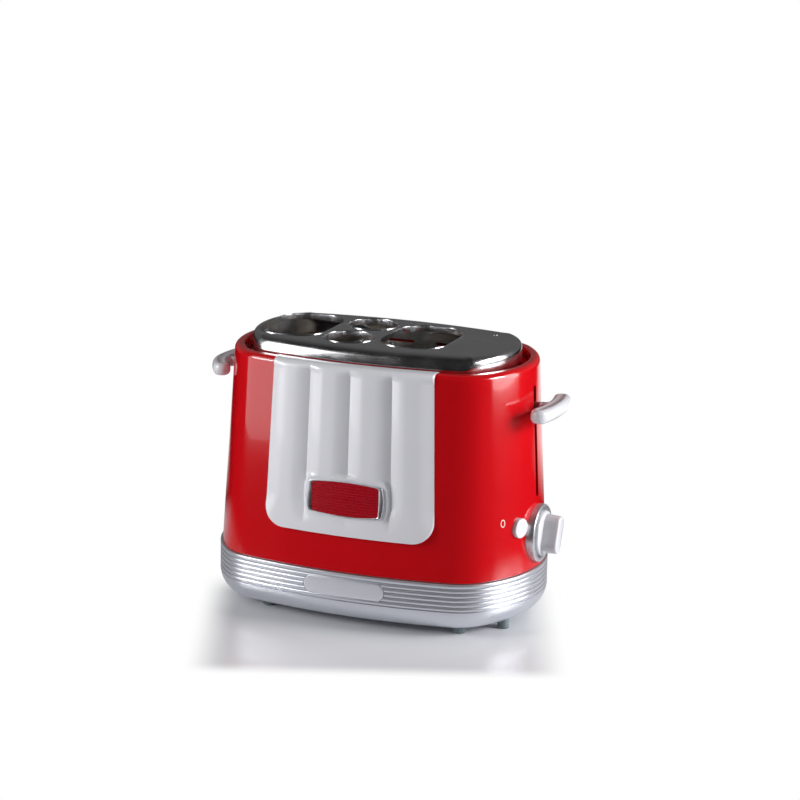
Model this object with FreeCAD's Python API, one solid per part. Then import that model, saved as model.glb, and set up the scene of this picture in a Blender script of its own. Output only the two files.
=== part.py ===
import FreeCAD, Part
import math
import os

# Hot dog toaster. Millimetres, +Z up, origin on the surface it stands on, under the middle of the body.
# The front is -Y, the controls are at the +X end. At rest both lifts are up and the dial is part way round.

Vector = FreeCAD.Vector
UP = Vector(0, 0, 1)
ALONG_X = Vector(1, 0, 0)
ALONG_Y = Vector(0, 1, 0)

# ---- plan shape of the body: an oval of tangent arcs, measured at the foot of the painted shell
half_length = 122.0
half_depth = 79.2
front_radius = 400.0
end_radius = 90.0
corner_radius = 38.7

# ---- heights above the table
foot_height = 5.5
body_bottom = 41.3
plate_height = 201.0
plate_proud = 10.2            # the plate stands this far above the shell's lip
lip_height = plate_height - plate_proud

# ---- painted shell
shell_wall = 2.0
shell_draft = 0.0578          # inward lean of the wall, mm for each mm of height
shoulder_radius = 9.0
shoulder_flats = 5
lip_edge_radius = 1.2
lip_flange_wall = 1.6
lip_flange_depth = 6.8

# ---- base
base_proud = 1.7
base_wall = 5.2
skirt_radius = 15.0
skirt_flats = 6
floor_wall = 2.5
rib_count = 5
rib_pitch = 3.45
rib_depth = 1.0
rib_flat_start = 0.3          # share of the pitch where a rib's crest begins
skirt_blend = 0.3
top_band_edge = 0.8
locating_lip_height = 3.7
locating_lip_gap = 0.3

# ---- feet
foot_radius = 5.2
foot_left_x = -68.5
foot_right_x = 80.5
foot_y = 51.5
end_foot_x = 106.0
end_foot_y = 29.0
end_foot_radius = 4.4

# ---- badges (bare)
badge_half_width = 28.4
badge_half_height = 11.4
badge_bulge = 1.6
badge_height = 96.7
badge_rim = 1.3
badge_end_rim = 3.6
badge_pad_margin = 3.0
badge_pad_rise = 3.4
badge_frame_rise = 2.0
badge_insert_rise = 1.3
badge_rib_count = 12
badge_rib_depth = 0.5
plate_badge_half_width = 28.8
plate_badge_bulge = 2.5
plate_badge_bottom = 23.9
plate_badge_top = 36.9
plate_badge_seat = 0.1
plate_badge_rise = 2.0

# ---- front panel with four lobes
panel_bottom = 68.9
panel_half_width_bottom = 65.4
panel_half_width_top = 61.6
panel_corner = 16.0
panel_seat_gap = 0.05
panel_edge_rise = 0.8
panel_crest_rise = 2.8
panel_skin_rise = 3.0
panel_lip_rise = 1.1
lobe_count = 4
lobe_bottom = 84.0
lobe_drop = 14.8
lobe_top = lip_height - lobe_drop
lobe_run_out = 7.5

# ---- top plate
plate_sheet = 1.0
plate_flat_inset = 27.7
plate_rim_radius = 5.9
plate_rim_flats = 4
plate_skirt_depth = 11.0
group_x = -20.0
slot_width = 50.0
slot_length = 72.0
slot_corner = 20.0
sausage_hole_radius = 18.5
sausage_spacing = 46.0
opening_web = 4.0
opening_lip = 0.8
opening_lip_rise = 0.5
opening_lip_depth = 4.0
rivet_x = 73.0
rivet_y = 30.0
rivet_radius = 1.7
rivet_head = 0.8

# ---- oven
chassis_sheet = 1.0
chassis_left_x = -101.0
chassis_right_x = 62.5
chassis_corner_x = -78.0
chassis_bend_x = -90.0
chassis_wall_gap = 21.4
chassis_bend_in = 8.3
chassis_end_in = 24.8
chassis_half_depth = half_depth - chassis_wall_gap
chassis_bend_y = chassis_half_depth - chassis_bend_in
chassis_left_half = chassis_half_depth - chassis_end_in
reflector_sheet = 0.8
chassis_floor_height = 23.2
chassis_drop = 19.0
chassis_top = plate_height - chassis_drop
floor_end_gap = 20.0
floor_side_gap = 17.2
floor_corner = 40.0
plate_stay_width = 18.0
board_sheet = 0.6
board_half_depth = 36.0
board_foot_width = 2.2
board_bottom = 30.0
board_drop = 1.0
board_top = chassis_top - board_drop
ribbon_count = 9
ribbon_start = 20.0
ribbon_end = 11.0
ribbon_width = 3.0
ribbon_sheet = 0.3
ribbon_pitch = (board_top - board_bottom - ribbon_start - ribbon_end) / (ribbon_count - 1)
guard_wire = 0.6
guard_inset = 0.3
guard_half_depth = 33.0
guard_reach = 40.0
guard_wire_count = 5
outer_board_gap = 3.6

# ---- lifts
guide_rod_radius = 2.5
rod_fit = 0.05
bush_radius = 4.2
bush_length = 8.0
bun_rod_x = 75.0
bun_rod_y = 12.0
sausage_rod_x = -106.8
sausage_rod_y = 8.0
sausage_bush_radius = 3.8
rod_drop = 4.0
rod_top = chassis_top - rod_drop
carriage_sheet = 1.5
bun_arm_y = 46.0
bun_arm_depth = 10.0
rack_height = 112.0
rack_wire = 1.1
rack_wire_spacing = 14.0
bun_travel = 60.0
bun_lever_drop = 41.5
bun_lever_height = plate_height - bun_lever_drop
hoop_inset = 11.0
hoop_drop = 12.0
hoop_bottom = chassis_top - hoop_drop
riser_depth = 20.0
hoop_depth = 7.0
hook_half_width = 4.0
sausage_travel = 55.0
sausage_lever_drop = 32.0
sausage_lever_height = plate_height - sausage_lever_drop
basket_radius = 16.0
basket_wire = 0.8
basket_ring_half = 0.5
basket_bottom = 88.0
basket_drop = 15.0
basket_top = plate_height - basket_drop
hook_rise = 4.0
basket_hook_height = hoop_bottom + hook_rise
lever_strip = 2.0
lever_strip_depth = 6.0
lever_reach = 137.5
lever_half_chord = 24.5
lever_bar_half_width = 6.5
lever_bar_height = 11.0
lever_bar_round = 4.0
lever_neck_start = 119.6
lever_neck_width = 9.0
lever_slot_width = 5.0
lever_room_below = 4.1
lever_room_above = 2.5
lever_slot_bottom = (min(bun_lever_height - bun_travel, sausage_lever_height - sausage_travel)
                     - lever_strip_depth / 2 - lever_room_below)
lever_slot_top = max(bun_lever_height, sausage_lever_height) + lever_strip_depth / 2 + lever_room_above

# ---- return spring of the bun lift
spring_wire = 0.6
spring_radius = 4.6
spring_turns = 7
spring_steps = 10

# ---- holding magnet of the bun lift
magnet_x = 79.0
magnet_y = 32.0
magnet_core_radius = 4.0
coil_radius = 8.0
coil_height = 15.0
armature_half = 7.0
armature_sheet = 1.5

# ---- controls
dial_height = 65.5
bezel_radius = 21.2
bezel_face_x = 124.2
bezel_ring = 4.2
bezel_recess = 1.2
knob_flange_radius = 16.5
knob_flange_sheet = 2.8
knob_tip_x = 137.3
grip_half_length = 13.8
grip_half_width = 5.6
grip_lean = 22.0
grip_draft = 0.8
shaft_radius = 3.0
shaft_start_x = 91.5
shaft_end_x = 131.0
timer_x = 89.4
timer_depth = 12.0
timer_half = 9.5
timer_neck_radius = 5.0
timer_neck_length = 7.0
button_angle = -18.5
button_height = 75.9
button_radius = 7.25
button_rise = 2.6
button_gap = 0.25
button_flange_radius = 9.0
button_flange_sheet = 1.6
button_collar_length = 5.0
button_travel = 2.0
button_pin_radius = 1.5
switch_depth = 9.0
switch_half = 5.0
board_x = 87.8
board_thickness = 1.6
control_board_left_y = -42.0
control_board_right_y = 18.0
control_board_bottom = 44.0
control_board_top = 90.0
bracket_sheet = 1.2

# ---- crumb tray
tray_half_width = 58.0
tray_floor = 11.0
tray_height = 7.0
tray_sheet = 1.0
tray_front_y = -50.0
tray_gap = 0.4
rail_width = 4.0
rail_gap = 0.1

# ---- mains inlet
gland_x = 66.0
gland_height = 29.1
gland_radius = 6.4
gland_bore = 3.6
terminal_gap = 23.2
terminal_depth = 12.0

# ---- base fixings
screw_x = 89.0
screw_y = 38.0
screw_radius = 1.8
screw_head_radius = 3.4
screw_head_height = 2.0
boss_radius = 5.0

end_centre = half_length - end_radius
front_centre = front_radius - half_depth
shell_draft_angle = math.degrees(math.atan(shell_draft))


def shell_inset(z):
    """How far the painted wall has leaned in at height z."""
    return shell_draft * (z - body_bottom)


def corner_centre():
    """Centre of the corner arc that is tangent inside to the front arc and the end arc."""
    reach_front = front_radius - corner_radius
    reach_end = end_radius - corner_radius
    span = math.hypot(end_centre, front_centre)
    along = (reach_front ** 2 - reach_end ** 2 + span ** 2) / (2 * span)
    aside = math.sqrt(reach_front ** 2 - along ** 2)
    unit = (end_centre / span, -front_centre / span)
    x = along * unit[0] - aside * unit[1]
    y = front_centre + along * unit[1] + aside * unit[0]
    if y > 0:
        x = along * unit[0] + aside * unit[1]
        y = front_centre + along * unit[1] - aside * unit[0]
    return x, y


corner_x, corner_y = corner_centre()
front_edge_angle = math.degrees(math.atan2(corner_y - front_centre, corner_x))
end_edge_angle = math.degrees(math.atan2(corner_y, corner_x - end_centre))


def plan_arcs():
    """The eight arcs of the oval, anticlockwise: (centre x, centre y, radius, start angle, sweep)."""
    half_front = 90.0 + front_edge_angle
    corner_sweep = end_edge_angle - front_edge_angle
    return [
        (0.0, front_centre, front_radius, -90.0 - half_front, 2 * half_front),
        (corner_x, corner_y, corner_radius, front_edge_angle, corner_sweep),
        (end_centre, 0.0, end_radius, end_edge_angle, -2 * end_edge_angle),
        (corner_x, -corner_y, corner_radius, -end_edge_angle, corner_sweep),
        (0.0, -front_centre, front_radius, -front_edge_angle, 2 * half_front),
        (-corner_x, -corner_y, corner_radius, 180.0 + front_edge_angle, corner_sweep),
        (-end_centre, 0.0, end_radius, 180.0 + end_edge_angle, -2 * end_edge_angle),
        (-corner_x, corner_y, corner_radius, 180.0 - end_edge_angle, corner_sweep),
    ]


FRONT_ARC = 0
RIGHT_END_ARC = 2
BACK_ARC = 4
LEFT_END_ARC = 6


def polar(cx, cy, radius, degrees, z):
    angle = math.radians(degrees)
    return Vector(cx + radius * math.cos(angle), cy + radius * math.sin(angle), z)


def oval_face(offset, z):
    """The oval moved outward by offset, as a flat face at height z."""
    edges = []
    for cx, cy, radius, start, sweep in plan_arcs():
        ends = [polar(cx, cy, radius + offset, start + sweep * part, z) for part in (0.0, 0.5, 1.0)]
        edges.append(Part.Arc(*ends).toShape())
    return Part.Face(Part.Wire(edges))


def oval_prism(offset, z0, z1):
    return oval_face(offset, z0).extrude(Vector(0, 0, z1 - z0))


def profile(*points):
    """Closed face in the plane y = 0 through (outward, up) points; outward counts from the oval."""
    corners = [Vector(outward, 0, up) for outward, up in points]
    return Part.Face(Part.makePolygon(corners + corners[:1]))


def sector(face, arc_number):
    """One arc's share of a ring: the profile turned about that arc's centre."""
    cx, cy, radius, start, sweep = plan_arcs()[arc_number]
    section = face.copy()
    section.translate(Vector(radius, 0, 0))
    section.rotate(Vector(0, 0, 0), UP, start)
    section.translate(Vector(cx, cy, 0))
    return section.revolve(Vector(cx, cy, 0), UP, sweep)


def oval_ring(face):
    """A ring of constant profile round the whole oval."""
    parts = [sector(face, number) for number in range(len(plan_arcs()))]
    return parts[0].multiFuse(parts[1:]).removeSplitter()


def round_points(centre, radius, first, last, steps):
    """Profile points along a circle from the first to the last angle, in flats of equal length."""
    points = []
    for number in range(steps + 1):
        angle = math.radians(first + (last - first) * number / steps)
        points.append((centre[0] + radius * math.cos(angle), centre[1] + radius * math.sin(angle)))
    return points


def box(x0, x1, y0, y1, z0, z1):
    return Part.makeBox(x1 - x0, y1 - y0, z1 - z0, Vector(x0, y0, z0))


def rod(x, y, z0, z1, radius):
    return Part.makeCylinder(radius, z1 - z0, Vector(x, y, z0), UP)


def disc_x(x0, x1, y, z, radius):
    return Part.makeCylinder(radius, x1 - x0, Vector(x0, y, z), ALONG_X)


def wire_y(x, z, y0, y1, radius):
    return Part.makeCylinder(radius, y1 - y0, Vector(x, y0, z), ALONG_Y)


def wire_x(y, z, x0, x1, radius):
    return Part.makeCylinder(radius, x1 - x0, Vector(x0, y, z), ALONG_X)


def join(parts):
    """One solid from touching pieces, with the seams kept."""
    solids = [solid for part in parts for solid in part.Solids]
    return solids[0].multiFuse(solids[1:])


def fuse(parts):
    """One solid from touching pieces, with flush faces merged."""
    return join(parts).removeSplitter()


def rounded_prism(cx, cy, width, length, corner, z0, z1):
    block = box(cx - width / 2, cx + width / 2, cy - length / 2, cy + length / 2, z0, z1)
    upright = [edge for edge in block.Edges if abs(edge.tangentAt(edge.FirstParameter).z) > 0.9]
    return block.makeFillet(corner, upright)


def barrel_prism(half_width, half_height, end_bulge, side_bulge, z, y0, y1):
    """A rectangle with bulging ends and bulging long sides, extruded along Y."""
    corners = [Vector(sx * half_width, y0, z + sz * half_height)
               for sx, sz in ((-1, -1), (1, -1), (1, 1), (-1, 1))]
    middles = [Vector(0, y0, z - half_height - side_bulge), Vector(half_width + end_bulge, y0, z),
               Vector(0, y0, z + half_height + side_bulge), Vector(-half_width - end_bulge, y0, z)]
    edges = [Part.Arc(corners[i], middles[i], corners[(i + 1) % 4]).toShape() for i in range(4)]
    return Part.Face(Part.Wire(edges)).extrude(Vector(0, y1 - y0, 0))


def front_badge_prism(margin, y0, y1):
    return barrel_prism(badge_half_width + margin - badge_bulge, badge_half_height + margin,
                        badge_bulge, badge_bulge, badge_height, y0, y1)


# ---------------------------------------------------------------- painted shell

shoulder_centre_z = lip_height - shoulder_radius
shoulder_start_z = shoulder_centre_z + shoulder_radius * math.sin(math.radians(shell_draft_angle))
shoulder_centre = (-shell_inset(shoulder_start_z) - shoulder_radius * math.cos(
    math.radians(shell_draft_angle)), shoulder_centre_z)
lip_inner = shoulder_centre[0] - lip_edge_radius


def shell_profile():
    """Wall with draft, a round shoulder, and a rolled-in lip that turns down round the opening."""
    centre = shoulder_centre
    inner_radius = shoulder_radius - shell_wall
    flange_back = lip_inner + lip_flange_wall
    flange_foot = lip_height - lip_edge_radius - lip_flange_depth
    flange_angle = math.degrees(math.acos((flange_back - centre[0]) / inner_radius))
    roll = (centre[0], lip_height - lip_edge_radius)
    return profile(
        (-shell_wall, body_bottom), (0.0, body_bottom),
        *round_points(centre, shoulder_radius, shell_draft_angle, 90.0, shoulder_flats),
        *round_points(roll, lip_edge_radius, 135.0, 180.0, 1),
        (lip_inner, flange_foot), (flange_back, flange_foot),
        *round_points(centre, inner_radius, flange_angle, shell_draft_angle, shoulder_flats - 1))


def end_direction(degrees):
    angle = math.radians(degrees)
    return Vector(math.cos(angle), math.sin(angle), 0)


def end_wall_x(z):
    """Outside of the painted wall on the middle line of an end."""
    return half_length - shell_inset(z)


def button_frame():
    """Where the button's axis leaves the wall, and its outward direction."""
    out = end_direction(button_angle)
    reach = end_radius - shell_inset(button_height)
    return Vector(end_centre, 0, button_height) + out * reach, out


def along_button(start, end, radius):
    """A cylinder on the button's axis; start and end are measured outward from the wall."""
    place, out = button_frame()
    return Part.makeCylinder(radius, end - start, place + out * start, out)


def body_shell():
    shell = oval_ring(shell_profile())
    collar = along_button(-button_collar_length, -shell_wall / 2, button_radius + button_gap + 1.5)
    shell = shell.fuse(collar)
    shell = shell.cut(along_button(-button_collar_length - 1, button_rise + 5, button_radius + button_gap))
    for side in (-1, 1):
        inner, outer = sorted((side * (end_wall_x(body_bottom) - 25), side * (half_length + 5)))
        slot = box(inner, outer, -lever_slot_width / 2, lever_slot_width / 2,
                   lever_slot_bottom, lever_slot_top)
        ends = [edge for edge in slot.Edges if abs(edge.tangentAt(edge.FirstParameter).x) > 0.9]
        shell = shell.cut(slot.makeFillet(lever_slot_width / 2 - 0.05, ends))
    shaft_hole = disc_x(half_length - 20, half_length + 5, 0, dial_height, timer_neck_radius + 0.6)
    return shell.cut(shaft_hole).removeSplitter()


# ---------------------------------------------------------------- front panel

def panel_half_width(z):
    share = (z - panel_bottom) / (plate_height - 4.0 - panel_bottom)
    return panel_half_width_bottom + share * (panel_half_width_top - panel_half_width_bottom)


def front_point(x, rise, z):
    """A point on the front, rise mm out from the painted wall."""
    radius = front_radius - shell_inset(z) + rise
    return Vector(x, front_centre - math.sqrt(radius ** 2 - x ** 2), z)


def lobe_section(z, valley_rise, crest_rise):
    """Horizontal slice of the panel: a row of arcs that meet in creases, closed behind the wall."""
    half = panel_half_width(z) + 1.0
    back = -6.0
    step = 2 * half / lobe_count
    edges = [Part.Arc(front_point(-half, back, z), front_point(0, back, z),
                      front_point(half, back, z)).toShape(),
             Part.makeLine(front_point(half, back, z), front_point(half, valley_rise, z))]
    for lobe in range(lobe_count):
        right = half - lobe * step
        edges.append(Part.Arc(front_point(right, valley_rise, z),
                              front_point(right - step / 2, crest_rise, z),
                              front_point(right - step, valley_rise, z)).toShape())
    edges.append(Part.makeLine(front_point(-half, valley_rise, z), front_point(-half, back, z)))
    return Part.Wire(edges)


def panel_outline():
    """The panel's outline seen from the front, extruded through the wall: it narrows upward like the
    body and has round lower corners."""
    top = plate_height
    corners = [Vector(-panel_half_width_bottom, -half_depth - 20, panel_bottom),
               Vector(panel_half_width_bottom, -half_depth - 20, panel_bottom),
               Vector(panel_half_width(top), -half_depth - 20, top),
               Vector(-panel_half_width(top), -half_depth - 20, top)]
    face = Part.Face(Part.makePolygon(corners + corners[:1]))
    solid = face.extrude(Vector(0, 60, 0))
    lower = [edge for edge in solid.Edges
             if abs(edge.tangentAt(edge.FirstParameter).y) > 0.9 and edge.Vertexes[0].Z < panel_bottom + 1]
    return solid.makeFillet(panel_corner, lower)


def panel_skin():
    """The smooth form that the lobes are cut from: it follows the wall and rolls over the shoulder."""
    gap = panel_seat_gap
    centre = shoulder_centre
    foot = panel_bottom - 5
    outside = round_points(centre, shoulder_radius + panel_skin_rise, shell_draft_angle, 90.0, shoulder_flats)
    outside[-1] = (centre[0], lip_height + panel_lip_rise)
    return sector(profile(
        (-shell_inset(foot) + gap, foot), (-shell_inset(foot) + panel_skin_rise, foot), *outside,
        *round_points(centre, shoulder_radius + gap, 90.0, shell_draft_angle, shoulder_flats)), FRONT_ARC)


def front_panel():
    clear = panel_skin_rise + 0.4
    stations = [lobe_section(panel_bottom - 8, clear, clear),
                lobe_section(lobe_bottom, panel_edge_rise, panel_crest_rise),
                lobe_section(lobe_top, panel_edge_rise, panel_crest_rise),
                lobe_section(lobe_top + lobe_run_out, clear, clear),
                lobe_section(plate_height + 2, clear, clear)]
    lobes = Part.makeLoft(stations, True, True)
    panel = panel_skin().common(panel_outline()).common(lobes)
    pad_profile = badge_sector(panel_edge_rise / 2, badge_pad_rise, badge_pad_margin + 3)
    pad = pad_profile.common(front_badge_prism(badge_pad_margin, -half_depth - 20, -half_depth + 30))
    return panel.fuse(pad).removeSplitter()


def badge_sector(low, high, margin):
    """A layer over the wall, from low to high mm out of it, round the badge's height."""
    z0 = badge_height - badge_half_height - badge_bulge - margin
    z1 = badge_height + badge_half_height + badge_bulge + margin
    return sector(profile((-shell_inset(z0) + low, z0), (-shell_inset(z0) + high, z0),
                          (-shell_inset(z1) + high, z1), (-shell_inset(z1) + low, z1)), FRONT_ARC)


def badge_window(margin, y0, y1):
    return barrel_prism(badge_half_width - badge_end_rim + margin, badge_half_height - badge_rim + margin,
                        badge_bulge, badge_bulge, badge_height, y0, y1)


def panel_badge_frame():
    layer = badge_sector(badge_pad_rise, badge_pad_rise + badge_frame_rise, 3)
    outline = front_badge_prism(0.0, -half_depth - 20, -half_depth + 30)
    window = badge_window(0.0, -half_depth - 30, -half_depth + 40)
    return layer.common(outline.cut(window))


def panel_badge_insert():
    """Reeded insert: each rib is a shallow tooth across the whole window."""
    z0 = badge_height - badge_half_height - badge_bulge
    pitch = 2 * (badge_half_height + badge_bulge) / badge_rib_count
    low = badge_pad_rise
    high = badge_pad_rise + badge_insert_rise
    points = [(-shell_inset(z0) + low, z0)]
    for rib in range(badge_rib_count):
        foot = z0 + rib * pitch
        points.append((-shell_inset(foot) + high - badge_rib_depth, foot))
        points.append((-shell_inset(foot + pitch / 2) + high, foot + pitch / 2))
    top = z0 + badge_rib_count * pitch
    points.append((-shell_inset(top) + high - badge_rib_depth, top))
    points.append((-shell_inset(top) + low, top))
    layer = sector(profile(*points), FRONT_ARC)
    return layer.common(badge_window(-0.05, -half_depth - 30, -half_depth + 40))


# ---------------------------------------------------------------- base

skirt_top = foot_height + skirt_radius
first_valley = skirt_top + skirt_blend
last_valley = first_valley + rib_count * rib_pitch
base_inner = -base_wall + base_proud - 1.0
base_floor_top = foot_height + floor_wall
floor_edge = base_proud - skirt_radius


def skirt_points(inset, last):
    """The skirt's quarter round from its foot up; inset moves it inward."""
    return round_points((floor_edge, skirt_top), skirt_radius - inset, last, 0.0, skirt_flats)


def base_profile():
    """Tucked-in skirt, a row of half-round ribs, a plain top band and the lip that locates the shell."""
    valley = base_proud - rib_depth
    lip_out = -shell_wall - locating_lip_gap
    lip_in = base_inner
    points = [(floor_edge - 4.0, foot_height)] + skirt_points(0.0, -90.0)
    points.append((valley, first_valley))
    for rib in range(rib_count):
        foot = first_valley + rib * rib_pitch
        points.append((base_proud, foot + rib_pitch * rib_flat_start))
        points.append((base_proud, foot + rib_pitch * (1 - rib_flat_start)))
        points.append((valley, foot + rib_pitch))
    points += [
        (base_proud, last_valley + top_band_edge), (base_proud, body_bottom - top_band_edge),
        (base_proud - top_band_edge, body_bottom), (lip_out, body_bottom),
        (lip_out, body_bottom + locating_lip_height), (lip_in, body_bottom + locating_lip_height)]
    points += reversed(skirt_points(base_proud - base_inner, -70.0))
    points.append((floor_edge - 4.0, base_floor_top))
    return profile(*points)


def rail_positions():
    return (group_x - tray_half_width + 14, group_x + tray_half_width - 14)


def tray_mouth(gap):
    """The space that the crumb tray's front takes in the back wall of the base."""
    return box(group_x - tray_half_width - 1 - gap, group_x + tray_half_width + 1 + gap,
               half_depth - 24, half_depth + 10, tray_floor - 1.5 - gap, tray_floor + tray_height + 1 + gap)


def plate_badge_prism(margin):
    middle = (plate_badge_bottom + plate_badge_top) / 2
    return barrel_prism(plate_badge_half_width + margin, (plate_badge_top - plate_badge_bottom) / 2 + margin,
                        plate_badge_bulge, 0.01, middle, -half_depth - 20, -half_depth + 20)


def base_housing():
    ring = oval_ring(base_profile())
    floor = oval_prism(floor_edge - 3.0, foot_height, base_floor_top)
    parts = [ring, floor]
    for x in rail_positions():
        parts.append(box(x - rail_width / 2, x + rail_width / 2, tray_front_y, half_depth - 26,
                         base_floor_top - 0.5, tray_floor - rail_gap))
    for x, y in screw_places():
        parts.append(rod(x, y, foot_height + 0.5, chassis_floor_height, boss_radius))
    base = fuse(parts)
    for x, y in screw_places():
        base = base.cut(rod(x, y, foot_height - 1, chassis_floor_height + 1, screw_radius + 0.05))
        base = base.cut(rod(x, y, foot_height - 1, foot_height + screw_head_height, screw_head_radius + 0.1))
    badge_pocket = plate_badge_layer(base_proud + 3).common(plate_badge_prism(0.1))
    gland_hole = wire_y(gland_x, gland_height, half_depth - 30, half_depth + 10, gland_radius - 1.4)
    base = base.cut(badge_pocket).cut(tray_mouth(tray_gap)).cut(gland_hole)
    for row in range(5):
        vent_x = group_x - 40 + 20 * row
        vent = rounded_prism(vent_x, 0, 4.0, 46.0, 1.9, foot_height - 1, base_floor_top + 1)
        base = base.cut(vent)
    return base


def plate_badge_layer(high):
    """A layer of the front between the plain plate's seat, just under the ribs' valleys, and high."""
    low = base_proud - rib_depth - plate_badge_seat
    bottom = plate_badge_bottom - 1
    top = plate_badge_top + 1
    return sector(profile((low, bottom), (high, bottom), (high, top), (low, top)), FRONT_ARC)


def base_badge_plate():
    return plate_badge_layer(plate_badge_rise).common(plate_badge_prism(0.0))


def screw_places():
    return [(sx * screw_x, sy * screw_y) for sx in (-1, 1) for sy in (-1, 1)]


def base_screws():
    parts = []
    for x, y in screw_places():
        head = rod(x, y, foot_height + 0.2, foot_height + screw_head_height, screw_head_radius)
        shank = rod(x, y, foot_height + screw_head_height, chassis_floor_height + chassis_sheet, screw_radius)
        parts.append(head.fuse(shank).removeSplitter())
    return Part.makeCompound(parts)


def foot(x, y, radius, top):
    """Round foot with a small chamfer where it meets the table."""
    body = rod(x, y, 0.0, top, radius)
    rim = [edge for edge in body.Edges if edge.Closed and edge.CenterOfMass.z < 0.1]
    return body.makeChamfer(0.6, rim)


def feet():
    parts = [foot(x, sy * foot_y, foot_radius, foot_height)
             for x in (foot_left_x, foot_right_x) for sy in (-1, 1)]
    skirt = sector(base_profile(), RIGHT_END_ARC)
    for sy in (-1, 1):
        stub = foot(end_foot_x, sy * end_foot_y, end_foot_radius, foot_height + 6)
        parts.append(max(stub.cut(skirt).Solids, key=lambda solid: -solid.CenterOfMass.z))
    return Part.makeCompound(parts)


# ---------------------------------------------------------------- top plate

def slot_centres():
    reach = sausage_hole_radius + opening_web + slot_width / 2
    return (group_x - reach, group_x + reach)


def sausage_centres():
    return ((group_x, -sausage_spacing / 2), (group_x, sausage_spacing / 2))


def opening_prisms(margin, z0, z1):
    """The four openings: a bun slot at each side, and two sausage holes between them."""
    parts = [rounded_prism(x, 0, slot_width + 2 * margin, slot_length + 2 * margin,
                           slot_corner + margin, z0, z1) for x in slot_centres()]
    parts += [rod(x, y, z0, z1, sausage_hole_radius + margin) for x, y in sausage_centres()]
    return parts


def top_plate():
    """Pressed plate: flat top, wide round rim, plain skirt, and a rolled lip round each opening."""
    sheet = plate_sheet
    rim_centre = (-plate_flat_inset, plate_height - plate_rim_radius)
    rim = oval_ring(profile(
        (rim_centre[0] - 3.0, plate_height),
        *round_points(rim_centre, plate_rim_radius, 90.0, 0.0, plate_rim_flats),
        (rim_centre[0] + plate_rim_radius, plate_skirt_foot),
        (rim_centre[0] + plate_rim_radius - sheet, plate_skirt_foot),
        *round_points(rim_centre, plate_rim_radius - sheet, 0.0, 90.0, plate_rim_flats),
        (rim_centre[0] - 3.0, plate_height - sheet)))
    flat = oval_prism(-plate_flat_inset - 2.0, plate_height - sheet, plate_height)
    lips = opening_prisms(opening_lip, plate_height - opening_lip_depth, plate_height + opening_lip_rise)
    plate = rim.multiFuse([flat] + lips)
    for opening in opening_prisms(0.0, plate_height - opening_lip_depth - 1, plate_height + 2):
        plate = plate.cut(opening)
    hole = rod(rivet_x, rivet_y, plate_height - 3, plate_height + 1, rivet_radius * 0.6)
    return plate.cut(hole).removeSplitter()


def plate_rivet():
    foot_point = Vector(rivet_x, rivet_y, plate_height)
    head = Part.makeCone(rivet_radius, rivet_radius * 0.5, rivet_head, foot_point, UP)
    shank = rod(rivet_x, rivet_y, plate_height - 2.5, plate_height, rivet_radius * 0.6 - 0.02)
    return fuse([head, shank])


# ---------------------------------------------------------------- oven

floor_top = chassis_floor_height + chassis_sheet
plate_skirt_foot = plate_height - plate_rim_radius - plate_skirt_depth


def plan_polygon(points, z0, z1):
    """Upright block on a closed run of (x, y) corners."""
    corners = [Vector(x, y, z0) for x, y in points]
    return Part.Face(Part.makePolygon(corners + corners[:1])).extrude(Vector(0, 0, z1 - z0))


def arm_window(x, side):
    """Tall slot in the right oven wall that one arm of the bun carriage travels in."""
    y0, y1 = sorted((side * (bun_arm_y - 1.0), side * (bun_arm_y + carriage_sheet + 1.0)))
    low = rack_height - bun_arm_depth / 2 - bun_travel - 3
    return box(x - 1, x + chassis_sheet + 1, y0, y1, low, rack_height + bun_arm_depth / 2 + 3)


def oven_end(x, half, flange_end, rod_x, rod_y):
    """End wall of the oven with a folded flange at the top and at the foot that hold a guide rod."""
    wall = box(x, x + chassis_sheet, -half, half, floor_top, chassis_top)
    x0, x1 = sorted((x + chassis_sheet / 2, flange_end))
    parts = [wall]
    for z in (floor_top, rod_top):
        parts.append(box(x0, x1, rod_y - 10, rod_y + 8, z, z + chassis_sheet))
    plate = fuse(parts)
    return plate.cut(rod(rod_x, rod_y, floor_top - 1, rod_top + 3, guide_rod_radius + 0.02))


def oven_end_right():
    wall = oven_end(chassis_right_x, chassis_half_depth, bun_rod_x + 7, bun_rod_x, bun_rod_y)
    stay = box(chassis_right_x, chassis_right_x + chassis_sheet, 0, plate_stay_width,
               chassis_top - 1, plate_height - plate_sheet)
    wall = wall.fuse(stay)
    for side in (-1, 1):
        wall = wall.cut(arm_window(chassis_right_x, side))
    return wall.removeSplitter()


def oven_end_left():
    wall = oven_end(chassis_left_x, chassis_left_half, sausage_rod_x - 3.6, sausage_rod_x, sausage_rod_y)
    half = plate_stay_width / 4
    stay_x = chassis_left_x + 3.5
    past_flat = -stay_x - half_length + plate_flat_inset + half ** 2 / end_radius
    inner_radius = plate_rim_radius - plate_sheet
    stay_top = plate_height - plate_rim_radius + math.sqrt(inner_radius ** 2 - past_flat ** 2)
    shelf = box(chassis_left_x, stay_x + 1, -half, half, chassis_top - chassis_sheet, chassis_top)
    stay = box(stay_x, stay_x + 1, -half, half, chassis_top - chassis_sheet, stay_top - 0.02)
    return fuse([wall, shelf, stay])


def chassis_floor():
    """Sheet frame on the base's bosses, open in the middle so that crumbs fall into the tray."""
    z = chassis_floor_height
    sheet = rounded_prism(-2, 0, 2 * (half_length - floor_end_gap), 2 * (half_depth - floor_side_gap),
                          floor_corner, z, z + chassis_sheet)
    window = rounded_prism(group_x, 0, 2 * tray_half_width + 34, 2 * board_half_depth + 2, 6, z - 1, z + 5)
    floor = sheet.cut(window)
    for x, y in screw_places():
        floor = floor.cut(rod(x, y, z - 1, z + 5, screw_radius + 0.05))
    return floor


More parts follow.
